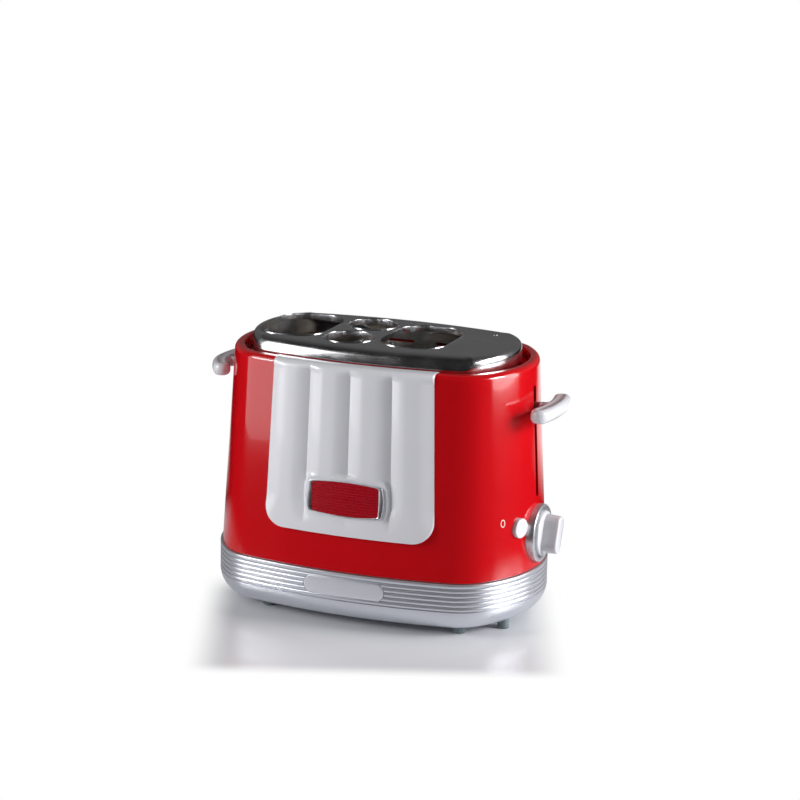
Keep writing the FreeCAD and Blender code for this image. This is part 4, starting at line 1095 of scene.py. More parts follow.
@dataclass
class Panel:
    """White front panel: four upright lobes whose creases fade out, a lip over the shoulder, a badge pad."""

    bottom: float = 68.9
    half_foot: float = 65.4
    half_top: float = 60.8
    middle_foot: float = 2.1
    middle_top: float = 1.2
    taper_top: float = 197.0
    crease_top: float = 182.0
    corner: float = 16.0
    skin: float = 3.5
    over_skin: float = 0.4
    blend: float = 0.25
    edge_rise: float = 0.2
    crest_rise: float = 3.8
    lip_rise: float = 0.4
    lobe_low: float = 93.0
    lobe_high: float = 185.0
    run_in: float = 20.0
    run_out: float = 5.0
    edge_round: float = 1.1
    lip_run: float = 1.25
    seat: float = 0.05
    crease: float = 0.508
    columns: int = 36
    steps_in_corner: int = 20
    steps_up_wall: int = 92

    def taper(self, z: Array) -> Array:
        """Share of the way up from the foot to the top of the taper."""
        return (z - self.bottom) / (self.taper_top - self.bottom)

    def half_width(self, z: Array) -> Array:
        """Half the panel's width at a height: it narrows evenly upward."""
        return self.half_foot + self.taper(z) * (self.half_top - self.half_foot)

    def across(self) -> Array:
        """Shares of the half width from -1 to 1, with a column on each crease.

        Returns:
            The shares.
        """
        inner = np.linspace(0.0, self.crease, self.columns + 1)
        outer = np.linspace(self.crease, 1.0, self.columns + 1)[1:]
        half = np.concatenate([inner, outer])
        return np.concatenate([-half[:0:-1], half])

    def lengths(self, shell: Shell, inset: float) -> Array:
        """Distances up the wall and over the shoulder, from the panel's foot to its inner edge.

        Args:
            shell: the shell it lies on.
            inset: how far inside the outline the edge lies.

        Returns:
            The distances.
        """
        wall_end = shell.wall_end - self.bottom
        round_length = math.radians(90.0 - shell.lean) * shell.shoulder
        turn = np.radians(np.linspace(0.0, 90.0, self.steps_in_corner + 1))
        corner = inset + (self.corner - inset) * (1 - np.cos(turn))
        wall = np.linspace(self.corner, wall_end, self.steps_up_wall + 1)[1:]
        over = np.linspace(wall_end, wall_end + round_length, 21)[1:]
        land = shell.shoulder_centre[0] - shell.lip_offset
        last = wall_end + round_length + np.linspace(0.0, land + self.lip_run - inset * 0.5, 9)[1:]
        return np.concatenate([corner, wall, over, last])

    def place(self, shell: Shell, share: Array, length: Array, inset: float,
              rise: Array | float) -> Array:
        """Points of the panel's skin.

        Across, a share inside the outermost creases maps straight to x, and the rest is squeezed so that the
        edge follows the outline. Up, the length runs along the wall and then round the shoulder's arc; the
        rise is added square to that section.

        Args:
            shell: the shell it lies on.
            share: shares of the half width.
            length: distances from the foot.
            inset: how far inside the outline the edge lies.
            rise: height over the shell.

        Returns:
            An array of points.
        """
        centre = shell.shoulder_centre
        lean = math.radians(shell.lean)
        wall_end = shell.wall_end - self.bottom
        z = self.bottom + np.minimum(length, wall_end)
        turn = lean + np.clip((length - wall_end) / shell.shoulder, 0.0, math.pi / 2 - lean)
        over = np.maximum(length - wall_end - shell.shoulder * (math.pi / 2 - lean), 0.0)
        on_wall = length <= wall_end
        offset = np.where(on_wall, -shell.inset(z) + rise,
                          centre[0] + (shell.shoulder + rise) * np.cos(turn) - over)
        height = np.where(on_wall, z, centre[1] + (shell.shoulder + rise) * np.sin(turn))
        half = self.half_width(z)
        drop = np.clip(self.corner - length, 0.0, self.corner - inset)
        edge = half - self.corner + np.sqrt((self.corner - inset) ** 2 - drop ** 2)
        inner = self.crease * half
        size = np.abs(share)
        outer = inner + (size - self.crease) / (1 - self.crease) * (edge - inner)
        x = np.sign(share) * np.where(size <= self.crease, size * half, outer)
        x = x + self.middle_foot + self.taper(z) * (self.middle_top - self.middle_foot)
        return np.stack([x, OVAL.front(x, offset), height], axis=-1)

    def rise(self, shell: Shell, points: Array, share: Array, length: Array,
             pad: "PanelBadge") -> Array:
        """Height of the finished skin over the shell.

        Each lobe is a low arc between two creases: crest - (crest - edge) x (2u - 1)^2 for the share u across
        it. Toward the foot and the top it climbs to more than the skin's height, so that the smaller of the
        two leaves a smooth skin there. The badge's pad is a soft plateau over both.

        Args:
            shell: the shell it lies on.
            points: places on the shell.
            share: shares of the half width.
            length: distances from the foot.
            pad: the badge with its pad.

        Returns:
            The heights.
        """
        z = self.bottom + length
        half = self.half_width(np.minimum(z, self.crease_top))
        across = (share * half / (half + 1.0) + 1.0) * 2.0
        part = across - np.floor(np.clip(across, 0.0, 3.999))
        full = self.skin + self.over_skin
        climb = np.maximum((self.lobe_low - z) / self.run_in, (z - self.lobe_high) / self.run_out)
        climb = np.clip(climb, 0.0, 1.0)
        edge = self.edge_rise + climb * (full - self.edge_rise)
        crest = self.crest_rise + climb * (full - self.crest_rise)
        lobe = crest - (crest - edge) * (2 * part - 1) ** 2
        skin = soft_least(lobe, np.full_like(lobe, self.skin), self.blend)
        wall_end = shell.shoulder_centre[1] - self.bottom
        fade = soft_step(wall_end - 0.5, wall_end + 6.0, length)
        skin = skin + (self.lip_rise - skin) * fade
        beyond = pad.distance(points[..., 0], points[..., 2])
        plateau = 1.0 - soft_step(-0.2, 2.4, beyond)
        return skin + (pad.pad_rise - skin) * plateau

    def build(self, shop: Workshop, shell: Shell, pad: "PanelBadge") -> None:
        """Make the panel: the skin, its rounded edge and a back that lies on the shell.

        Args:
            shop: where pieces are made.
            shell: the shell it lies on.
            pad: the badge with its pad.
        """
        share = self.across()
        layers = [(self.edge_round * (1 - math.sin(angle)), self.edge_round * (1 - math.cos(angle)))
                  for angle in np.radians(np.linspace(0.0, 90.0, 6))]
        sheets = []
        for inset, drop in layers:
            across, up = np.meshgrid(share, self.lengths(shell, inset))
            flat = self.place(shell, across, up, inset, 0.0)
            height = np.maximum(self.rise(shell, flat, across, up, pad) - drop, self.seat + 0.1)
            sheets.append(self.place(shell, across, up, inset, height))
        across, up = np.meshgrid(share, self.lengths(shell, 0.0))
        sheets.append(self.place(shell, across, up, 0.0, self.seat))
        made = shop.piece("fluted_panel", pillow(*sheets))
        shop.dress(made, "panel_white", ["front_panel"], 19.0)


def barrel(half_width: float, half_height: float, end_bulge: float, side_bulge: float, share_x: Array,
           share_z: Array) -> tuple[Array, Array]:
    """A rectangle's points from shares, each side pushed out by its bulge x (1 - other share squared)."""
    return (share_x * (half_width + end_bulge * (1 - share_z ** 2)),
            share_z * (half_height + side_bulge * (1 - share_x ** 2)))


def barrel_outline(half_width: float, half_height: float, end_bulge: float, side_bulge: float,
                   count: int = 60, passes: int = 8) -> Array:
    """Closed outline of a barrel shape, anticlockwise, with its corners rounded.

    Args:
        half_width: half the size along x.
        half_height: half the size along z.
        end_bulge: bulge of the ends.
        side_bulge: bulge of the long sides.
        count: points on a side.
        passes: rounds of softening.

    Returns:
        (n, 2) points.
    """
    run = np.linspace(-1.0, 1.0, count, endpoint=False)
    one = np.ones(count)
    share_x = np.concatenate([run, one, -run, -one])
    share_z = np.concatenate([-one, run, one, -run])
    sides = barrel(half_width, half_height, end_bulge, side_bulge, share_x, share_z)
    return softened(np.stack(sides, axis=1), passes)


@dataclass
class PanelBadge:
    """Bare badge on the panel: a bright frame with wide ends round a red reeded insert, on a white pad."""

    middle: float = 1.8
    height: float = 96.7
    half_width: float = 27.9
    half_height: float = 11.4
    end_bulge: float = 1.6
    side_bulge: float = 1.6
    window_width: float = 25.4
    window_height: float = 10.6
    window_bulge: float = 0.3
    pad_rise: float = 3.4
    pad_margin: float = 2.0
    pad_round: float = 2.0
    frame_rise: float = 2.0
    insert_rise: float = 1.3
    ribs: int = 12
    rib_depth: float = 0.75

    def distance(self, x: Array, z: Array) -> Array:
        """Distance outside the pad's outline, negative inside it.

        Args:
            x: places along x.
            z: heights.

        Returns:
            The distances.
        """
        x, up = x - self.middle, z - self.height
        side = self.half_width + self.end_bulge * (1 - np.clip(up / self.half_height, -1, 1) ** 2)
        top = self.half_height + self.side_bulge * (1 - np.clip(x / self.half_width, -1, 1) ** 2)
        out_x = np.abs(x) - side - self.pad_margin + self.pad_round
        out_z = np.abs(up) - top - self.pad_margin + self.pad_round
        outside = np.hypot(np.maximum(out_x, 0), np.maximum(out_z, 0))
        return outside + np.minimum(np.maximum(out_x, out_z), 0) - self.pad_round

    def on_front(self, shell: Shell, x: Array, up: Array, rise: Array) -> Array:
        """Points over the shell's front at a place on the badge and a rise."""
        x, z = x + self.middle, self.height + up
        return np.stack([x, OVAL.front(x, rise - shell.inset(z)), z + 0 * x], axis=-1)

    def build(self, shop: Workshop, shell: Shell) -> None:
        """Make the frame and the insert.

        Args:
            shop: where pieces are made.
            shell: the shell it lies on.
        """
        outer = barrel_outline(self.half_width, self.half_height, self.end_bulge, self.side_bulge)
        inner = barrel_outline(self.window_width, self.window_height, self.window_bulge, self.side_bulge)
        top = self.pad_rise + self.frame_rise
        section = rows_of((0.0, self.pad_rise), (0.0, top - 0.6), (0.05, top - 0.25), (0.16, top - 0.06),
                          (0.34, top), (0.62, top - 0.03), (0.84, top - 0.18), (0.95, top - 0.4),
                          (1.0, top - 0.75), (1.0, self.pad_rise))
        x, up, rise = np.moveaxis(swept(outer, inner - outer, section), -1, 0)
        made = shop.piece("badge_frame", grid(self.on_front(shell, x, up, rise), True, True))
        shop.dress(made, "badge_chrome", ["panel_badge_frame"], 40.0)

        share_x, share_z = np.meshgrid(np.linspace(-1, 1, 49), np.linspace(-1, 1, 181))
        x, up = barrel(self.window_width - 0.05, self.window_height - 0.05, self.window_bulge,
                       self.side_bulge, share_x, share_z)
        pitch = 2 * (self.window_height + self.side_bulge) / self.ribs
        place = np.mod(up + self.window_height + self.side_bulge, pitch) / pitch
        crest = np.sqrt(np.maximum(0.0, 1 - (2 * place - 1) ** 4))
        front = self.on_front(shell, x, up, self.pad_rise + self.insert_rise - self.rib_depth * (1 - crest))
        back = self.on_front(shell, x, up, np.full_like(x, self.pad_rise))
        insert = shop.piece("badge_insert", pillow(front, back))
        shop.dress(insert, "insert_red", ["panel_badge_insert"], 50.0)


@dataclass
class TopPlate:
    """Bright pressed plate: a flat top with a wide round rim, bun slots, sausage wells and a rivet."""

    height: float = 201.0
    sheet: float = 1.0
    skirt_inset: float = 21.8
    rim_end: float = 4.6
    rim_front: float = 10.4
    skirt_foot: float = 184.1
    group_x: float = -20.0
    slot_width: float = 50.0
    slot_length: float = 72.0
    slot_corner: float = 20.0
    hole_radius: float = 18.5
    hole_spacing: float = 46.0
    web: float = 4.0
    lip: float = 0.8
    lip_rise: float = 0.5
    lip_depth: float = 4.0

    def slots(self) -> tuple[float, float]:
        """Middles of the two bun slots along x."""
        reach = self.hole_radius + self.web + self.slot_width / 2
        return self.group_x - reach, self.group_x + reach

    def openings(self, margin: float) -> list[tuple[Array, Array]]:
        """Outlines and outward directions of the four openings, grown by a margin.

        Args:
            margin: the margin.

        Returns:
            A pair of arrays for each.
        """
        made = [rounded_outline((x, 0.0), self.slot_width + 2 * margin, self.slot_length + 2 * margin,
                                self.slot_corner + margin, 16) for x in self.slots()]
        radius = self.hole_radius + margin
        for y in (-self.hole_spacing / 2, self.hole_spacing / 2):
            made.append(rounded_outline((self.group_x, y), 2 * radius, 2 * radius, radius - 0.01, 16))
        return made

    def build(self, shop: Workshop) -> None:
        """Make the plate with its lips, and the rivet.

        Args:
            shop: where pieces are made.
        """
        points, normals = OVAL.outline(PLAN_STEP)
        rim = self.rim_end + (self.rim_front - self.rim_end) * toward_front(normals)
        turn = np.radians(np.linspace(90.0, 0.0, 23))
        rows = []
        for thick, angles in ((0.0, turn), (self.sheet, turn[::-2])):
            rows.append((-self.skirt_inset - rim + (rim - thick) * np.cos(angles)[:, None],
                         self.height - rim - 0.3 + (rim + 0.3 - thick) * np.sin(angles)[:, None]))
        foot = [(0.0, 0.2), (0.2, 0.0), (self.sheet - 0.2, 0.0), (self.sheet, 0.2)]
        rows.insert(1, (np.array([[-self.skirt_inset - across] for across, _ in foot]) + 0 * rim,
                        np.array([[self.skirt_foot + up] for _, up in foot]) + 0 * rim))
        crown = (-self.skirt_inset - rim[None, :] - 0.4, self.height + 0 * rim[None, :])
        under = (crown[0], crown[1] - self.sheet)
        offset = np.concatenate([crown[0], *(row[0] for row in rows), under[0]])
        height = np.concatenate([crown[1], *(row[1] for row in rows), under[1]])
        rings = swept(points, normals, np.stack([offset.T, height.T], axis=-1))
        made = shop.piece("top_plate_bright", capped(rings.transpose(1, 0, 2)))
        carve(made, [slab(outline, self.height - 3, self.height + 2, Axis.Z)
                     for outline, _ in self.openings(self.lip * 0.6)])
        lip_top = self.height + self.lip_rise
        bead = self.lip / 2
        lip_section = rows_of((0.0, self.height - self.lip_depth), (0.0, lip_top - bead),
                              arc((bead, lip_top - bead), bead, 180.0, 0.0, 8)[1:-1],
                              (self.lip, lip_top - bead), (self.lip, self.height - 0.5),
                              (self.lip * 0.7, self.height - self.sheet - 0.3),
                              (self.lip * 0.7, self.height - self.lip_depth))
        lips = gather(ringed(outline, out, lip_section) for outline, out in self.openings(0.0))
        shop.dress(made, "chrome", ["top_plate"], 32.0, True)
        shop.dress(shop.piece("opening_lips", lips), "chrome", angle=45.0)
        rivet = Spindle((73.0, 30.0, self.height), *UPRIGHT).turned(rows_of(
            (0, -2.5), (0.95, -2.5), (0.95, -0.02), (1.7, 0.02), (1.66, 0.22), (1.42, 0.5), (1.0, 0.7),
            (0.5, 0.79), (0, 0.8)), 40)
        shop.dress(shop.piece("rivet_head", rivet), "zinc_screw", ["plate_rivet"], 50.0)


@dataclass
class Base:
    """Silver base: a tucked-in skirt, five half-round ribs and a plain band, open at its floor and back."""

    foot: float = 5.5
    top: float = 41.3
    proud: float = 1.7
    skirt: float = 15.0
    floor: float = 2.5
    floor_edge: float = 4.0
    inner: float = -4.5
    ribs: int = 5
    rib_pitch: float = 3.45
    rib_depth: float = 1.25
    band_edge: float = 0.8
    lip_out: float = -2.3
    lip_height: float = 3.7
    screw_reach: tuple[float, float] = (89.0, 38.0)
    mouth_middle: tuple[float, float] = (-20.0, 14.25)
    mouth_size: tuple[float, float] = (118.8, 10.3)

    @property
    def skirt_top(self) -> float:
        """Height where the skirt's round ends."""
        return self.foot + self.skirt

    @property
    def rib_start(self) -> float:
        """Height of the lowest valley."""
        return self.skirt_top + 0.3

    def skirt_offset(self, z: Array) -> Array:
        """Offset of the skirt's quarter circle at a height."""
        return (self.proud - self.skirt
                + np.sqrt(np.maximum(self.skirt ** 2 - (self.skirt_top - z) ** 2, 0.0)))

    def skirt_height(self, offset: Array) -> Array:
        """Height of the skirt's underside at an offset."""
        out = np.clip(offset - self.proud + self.skirt, 0.0, self.skirt - 0.01)
        return self.skirt_top - np.sqrt(self.skirt ** 2 - out ** 2)

    def ribbed(self) -> Array:
        """Section of the ribs, from the top of the skirt's round to the foot of the band.

        A rib falls back from its crest by its depth x (1 - the root of 1 - |place|^2.5), where the place runs
        from -1 to 1 across it.

        Returns:
            Rows of offset and height.
        """
        place = np.linspace(-1.0, 1.0, 11)[1:]
        crest = self.proud - self.rib_depth * (1 - np.sqrt(np.maximum(0.0, 1 - np.abs(place) ** 2.5)))
        middles = self.rib_start + self.rib_pitch * (np.arange(self.ribs) + 0.5)
        heights = (middles[:, None] + place[None, :] * self.rib_pitch / 2).ravel()
        ribs = np.stack([np.tile(crest, self.ribs), heights], axis=1)
        last = self.rib_start + self.ribs * self.rib_pitch
        return rows_of((self.proud - 0.15, self.skirt_top + 0.12),
                       (self.proud - self.rib_depth, self.rib_start), ribs,
                       (self.proud - 0.2, last + self.band_edge * 0.55), (self.proud, last + self.band_edge))

    def outside(self) -> Array:
        """Section of the outside, from the floor's edge to the top of the band.

        Returns:
            Rows of offset and height.
        """
        edge = self.band_edge
        return rows_of(arc((self.proud - self.skirt, self.skirt_top), self.skirt, -90.0, 0.0, 20),
                       self.ribbed(), arc((self.proud - edge, self.top - edge), edge, 0.0, 90.0, 5))

    def build(self, shop: Workshop) -> None:
        """Make the base, its screws and its feet.

        Args:
            shop: where pieces are made.
        """
        tuck, lip_top = self.proud - self.skirt, self.top + self.lip_height
        section = rows_of(
            (tuck - self.floor_edge, self.foot), (tuck - 0.6, self.foot), self.outside(),
            (self.lip_out, self.top), (self.lip_out, lip_top - 0.5), (self.lip_out - 0.5, lip_top),
            (self.inner, lip_top), (self.inner, self.skirt_top),
            arc((tuck, self.skirt_top), self.skirt - self.proud + self.inner, 0.0, -70.0, 8)[1:],
            (tuck - self.floor_edge, self.foot + self.floor))
        rings = swept(*OVAL.outline(PLAN_STEP), section)
        made = shop.piece("silver_base", capped(rings.transpose(1, 0, 2)))
        carve(made, self.openings())
        shop.dress(made, "base_silver", ["base_housing"], 38.0)
        self.bosses(shop)
        self.screws(shop)
        self.feet(shop)

    def openings(self) -> list[Surface]:
        """The tray's mouth, the vents, the inlet, the screw wells and the seat of the plain plate.

        Returns:
            The cutters.
        """
        mouth, _ = rounded_outline(self.mouth_middle, *self.mouth_size, 0.6, 3)
        cuts = [slab(mouth, 55.2, 90.0, Axis.Y),
                Spindle((Inlet.x, 49.0, Inlet.z), *TO_BACK).drill(5.0, 0, 42, 48)]
        for row in range(5):
            vent, _ = rounded_outline((-60.0 + 20.0 * row, 0.0), 4.0, 46.0, 1.9, 5)
            cuts.append(slab(vent, self.foot - 1, self.foot + self.floor + 1, Axis.Z))
        well = rows_of((0, 4.5), (3.5, 4.5), (3.5, 7.5), (1.85, 7.5), (1.85, 9.5), (0, 9.5))
        cuts += [axis.turned(well, 32) for axis in self.screw_axes()]
        plate = BasePlate()
        return cuts + [pillow(plate.sheet(plate.gap, 4.0), plate.sheet(plate.gap, plate.low))]

    def screw_axes(self) -> list[Spindle]:
        """The upright axes of the four base screws."""
        x, y = self.screw_reach
        return [Spindle((sx * x, sy * y, 0.0), *UPRIGHT) for sx in (-1, 1) for sy in (-1, 1)]

    def bosses(self, shop: Workshop) -> None:
        """The posts inside the base that carry the chassis floor, and the tray's two rails.

        Args:
            shop: where pieces are made.
        """
        section = rows_of((1.85, 8.0), (5.0, 8.0), (5.0, 22.9), (4.7, 23.2), (1.85, 23.2))
        posts = [axis.turned(section, 32) for axis in self.screw_axes()]
        rails = [slab(rounded_outline((x, (-50.0 + 53.2) / 2), 4.0, 103.2, 0.4, 2)[0], 8.0, 10.9, Axis.Z)
                 for x in (-64.0, 24.0)]
        shop.dress(shop.piece("base_posts", gather(posts + rails)), "base_silver")

    def screws(self, shop: Workshop) -> None:
        """Pan-head screws with a cross recess.

        Args:
            shop: where pieces are made.
        """
        section = rows_of((0, 5.7), (2.2, 5.75), (3.1, 6.0), (3.4, 6.5), (3.4, 7.5), (1.8, 7.5), (1.8, 24.2),
                          (0, 24.2))
        axes = self.screw_axes()
        made = shop.piece("base_screw_heads", gather(axis.turned(section, 36) for axis in axes))
        for width, length in ((0.9, 3.4), (3.4, 0.9)):
            carve(made, [slab(rounded_outline(axis.origin[:2], width, length, 0.2, 2)[0], 5.0, 6.9, Axis.Z)
                         for axis in axes])
        shop.dress(made, "zinc_screw", ["base_screws"], 35.0)

    def feet(self, shop: Workshop) -> None:
        """Round feet: four under the floor, and two under the skirt at the dial's end that fit its curve.

        Args:
            shop: where pieces are made.
        """
        places = [(x, sy * 51.5, 5.2, False) for x in (-68.5, 80.5) for sy in (-1, 1)]
        places += [(106.0, sy * 29.0, 4.4, True) for sy in (-1, 1)]
        shares = rows_of((0.0, 0.0), (0.82, 0.0), (0.93, 0.05), (0.98, 0.18), (1.0, 0.4), (0.985, 1.0),
                         (0.75, 1.0), (0.5, 1.0), (0.25, 1.0), (0.0, 1.0))
        reach, level = shares[:, :1], shares[:, 1:]
        made = []
        for x, y, radius, under_skirt in places:
            px = x + radius * reach * np.cos(around(48))
            py = y + radius * reach * np.sin(around(48))
            top = np.full_like(px, self.foot)
            if under_skirt:
                top = self.skirt_height(np.hypot(px - OVAL.end_centre, py) - OVAL.end_radius) - 0.03
            z = np.where(level < 1.0, np.minimum(level * 5.0, top), top)
            made.append(grid(np.stack([px, py, z], axis=-1).transpose(1, 0, 2), wrap_rows=True))
        shop.dress(shop.piece("round_feet", gather(made)), "foot_rubber", ["feet"], 50.0)


@dataclass
class BasePlate:
    """Smooth bare plate let into the front of the base, over the ribs."""

    middle: float = 1.6
    half_width: float = 27.4
    half_height: float = 6.5
    end_bulge: float = 3.6
    height: float = 30.4
    low: float = 0.6
    rise: float = 2.05
    edge: float = 0.8
    gap: float = 0.45

    def sheet(self, margin: float, rise: float) -> Array:
        """Points of a barrel shape on the front arc; its rise falls off in a quarter circle at the edge.

        Args:
            margin: how far the shape is grown past the plate.
            rise: offset over the oval.

        Returns:
            A sheet of points.
        """
        share_x, share_z = np.meshgrid(*(np.sin(np.linspace(-math.pi / 2, math.pi / 2, count))
                                         for count in (61, 31)))
        x, up = barrel(self.half_width + margin, self.half_height + margin * 0.3, self.end_bulge, 0.0,
                       share_x, share_z)
        side = self.half_width + self.end_bulge * (1 - share_z ** 2) - np.abs(x)
        inside = np.minimum(side, self.half_height - np.abs(up))
        drop = 0.0 if margin else self.edge * (1 - np.sqrt(1 - np.clip(1 - inside / self.edge, 0, 1) ** 2))
        x = x + self.middle
        return np.stack([x, OVAL.front(x, rise - drop + 0 * x), up + self.height], axis=-1)

    def build(self, shop: Workshop) -> None:
        """Make the plate.

        Args:
            shop: where pieces are made.
        """
        front = self.sheet(0.0, self.rise)
        back = front.copy()
        back[..., 1] = OVAL.front(front[..., 0], np.full_like(front[..., 0], self.low))
        made = shop.piece("base_plain_plate", pillow(front, back))
        shop.dress(made, "plate_silver", ["base_badge_plate"], 40.0, True)


@dataclass
class Lever:
    """Curved finger bar with round ends and a neck that reaches into the slot."""

    name: str
    node: str
    body: str
    height: float
    side: int
    reach: float = 137.5
    half_width: float = 6.5
    bar_height: float = 11.0
    edge: float = 4.0
    half_chord: float = 21.6
    near_chord: float = 25.4
    front_bend: float = 0.0
    neck_start: float = 119.6

    def bar(self) -> Surface:
        """The bar: a rounded section carried round a stadium, whose middle line is an arc about the end.

        Every outline point is a point of the middle line plus the section's offset times the direction out of
        it. The top dips a little along the middle.

        Returns:
            The bar.
        """
        middle = self.reach - OVAL.end_centre - self.half_width
        near, far = math.asin(self.near_chord / middle), math.asin(self.half_chord / middle)
        run = np.linspace(-near, far, 41)
        caps = np.linspace(0.0, math.pi, 19)[1:-1]
        line = np.concatenate([run, np.full(17, far), run[::-1], np.full(17, -near)])
        turn = np.concatenate([run, far + caps, run[::-1] + math.pi, -near + math.pi + caps])
        base = middle * np.stack([np.cos(line), np.sin(line)], axis=1)
        base[:, 0] -= self.front_bend * np.clip(-line / near, 0.0, 1.0) ** 2
        out = np.stack([np.cos(turn), np.sin(turn)], axis=1)
        h, c, w = self.bar_height / 2, self.edge, self.half_width
        section = rows_of((0.0, -h + 0.3), (w * 0.3, -h + 0.12), arc((w - c, c - h), c, -90.0, 0.0, 7),
                          arc((w - c, h - c), c, 0.0, 90.0, 7), (w * 0.3, h - 0.25), (0.0, h - 0.4))
        return grid(swept(base, out, section) + (OVAL.end_centre, 0.0, self.height), wrap_rows=True)

    def neck(self) -> Surface:
        """The neck: a rounded rectangle that widens toward the bar, carried along x.

        Returns:
            The neck.
        """
        middle = self.reach - self.half_width
        run = np.linspace(0.0, 1.0, 14)
        x = self.neck_start + run * (middle - self.neck_start)
        flare = soft_step(0.2, 0.75, run)
        half_y = 4.5 + 2.6 * flare
        half_z = 3.3 + 0.9 * flare
        side, up = (np.sign(wave) * np.abs(wave) ** 0.45 for wave in (np.cos(around(36)), np.sin(around(36))))
        shape = (len(run), len(side))
        return capped(np.stack([np.broadcast_to(x[:, None], shape), half_y[:, None] * side,
                                self.height + half_z[:, None] * up], axis=-1))

    def build(self, shop: Workshop) -> None:
        """Join the bar and its neck and put them on their lift.

        Args:
            shop: where pieces are made.
        """
        bar, neck = self.bar(), self.neck()
        if self.side < 0:
            bar, neck = bar.mirrored_x(), neck.mirrored_x()
        made = shop.piece(self.name, bar, self.body)
        carve(made, [neck], Cut.ADD)
        shop.dress(made, "lever_white", [self.node], 42.0)


@dataclass
class Dial:
    """Timer dial: a silver ring on the wall, a round flange and a leaning bar grip, with plain ticks."""

    height: float = 65.5
    ring_radius: float = 21.2
    ring_width: float = 4.2
    face: float = 124.2
    recess: float = 1.2
    flange: float = 16.5
    tip: float = 137.3
    grip_half: float = 13.8
    grip_width: float = 6.9
    lean: float = 22.0

    def spindle(self) -> Spindle:
        """The dial's axis, with heights measured as x."""
        return Spindle((0.0, 0.0, self.height), *TO_DIAL)

    def bezel(self, shell: Shell) -> Surface:
        """The ring: a turned section whose back edge is pulled to the curved wall.

        Args:
            shell: the shell it lies on.

        Returns:
            The ring.
        """
        r, face = self.ring_radius, self.face
        inner = r - self.ring_width
        low = face - self.recess
        section = rows_of((3.6, 0.0), (3.6, low), (inner - 0.3, low), (inner, low + 0.3),
                          (inner, face - 0.35), (inner + 0.1, face - 0.12), (inner + 0.4, face),
                          (r - 1.0, face), (r - 0.4, face - 0.15), (r - 0.1, face - 0.45), (r, face - 0.9),
                          (r, 0.0), (r * 0.7, 0.0), (r * 0.4, 0.0))
        radius, x, turn = np.broadcast_arrays(section[:, 0], section[:, 1], around(120)[:, None])
        placed = self.spindle().place(radius, x, turn)
        wall = OVAL.end(placed[..., 1], 0.05 - shell.inset(placed[..., 2]))
        x = np.where(section[:, 1] == 0.0, wall, x)
        return grid(self.spindle().place(radius, x, turn), True, True)

    def ticks(self) -> Surface:
        """Plain strokes round the ring's face, a long one at the start.

        Returns:
            The strokes.
        """
        strokes = []
        for number in range(9):
            angle = math.radians(-112.5 + 28.125 * number)
            half = 0.2 if number else 0.35
            length = 1.0 if number % 2 else 1.5
            radial = np.array([math.cos(angle), math.sin(angle)])
            square = np.array([-radial[1], radial[0]])
            middle = (self.ring_radius - self.ring_width / 2) * radial
            corners = np.array([middle + a * length * radial + b * half * square
                                for a, b in ((-1, -1), (1, -1), (1, 1), (-1, 1))])
            y, z = -corners[:, 1], corners[:, 0] + self.height
            strokes.append(slab(np.stack([y, z], axis=1), self.face - 0.1, self.face + 0.04, Axis.X))
        return gather(strokes)

    def knob(self) -> Surface:
        """The flange with its rounded rim.

        Returns:
            The flange.
        """
        start = self.face - self.recess + 0.3
        end = start + 2.8
        r = self.flange
        return self.spindle().turned(rows_of(
            (3.02, start), (r - 0.3, start), (r, start + 0.3), (r, end - 1.1), (r - 0.12, end - 0.6),
            (r - 0.45, end - 0.2), (r - 1.0, end), (3.02, end)), 120)

    def grip(self) -> Surface:
        """The grip: a stadium that shrinks toward the tip, with a rounded edge and a slightly crowned end.

        Returns:
            The grip.
        """
        start = self.face - self.recess + 1.7
        half = self.grip_half + 0.6 - self.grip_width
        run = np.linspace(-half, half, 9)
        caps = np.linspace(0.0, math.pi, 21)[1:-1]
        line = np.concatenate([run, np.full(19, half), run[::-1], np.full(19, -half)])
        turn = np.concatenate([np.zeros(9), caps, np.full(9, math.pi), math.pi + caps])
        w, tip = self.grip_width, self.tip
        section = rows_of((0.0, start), (w, start), (w - 0.05, start + 1.5), (w - 0.62, tip - 1.4),
                          (w - 0.78, tip - 0.8), (w - 1.15, tip - 0.32), (w - 1.75, tip - 0.06),
                          (w * 0.35, tip), (0.0, tip))
        up = line[:, None] + section[None, :, 0] * np.sin(turn)[:, None]
        out = section[None, :, 0] * np.cos(turn)[:, None]
        lean = math.radians(self.lean)
        y = out * math.cos(lean) + up * math.sin(lean)
        z = -out * math.sin(lean) + up * math.cos(lean) + self.height
        x = np.broadcast_to(section[None, :, 1], y.shape)
        return grid(np.stack([x, y, z], axis=-1), wrap_rows=True)

    def build(self, shop: Workshop, shell: Shell) -> None:
        """Make the ring, its ticks and the knob.

        Args:
            shop: where pieces are made.
            shell: the shell it lies on.
        """
        shop.dress(shop.piece("dial_ring", self.bezel(shell)), "bezel_silver", ["dial_bezel"], 40.0)
        shop.dress(shop.piece("dial_ticks", self.ticks()), "print_grey")
        knob = shop.piece("timer_knob", self.knob(), "timer_dial")
        carve(knob, [self.grip()], Cut.ADD)
        shop.dress(knob, "lever_white", ["dial_knob"], 40.0)


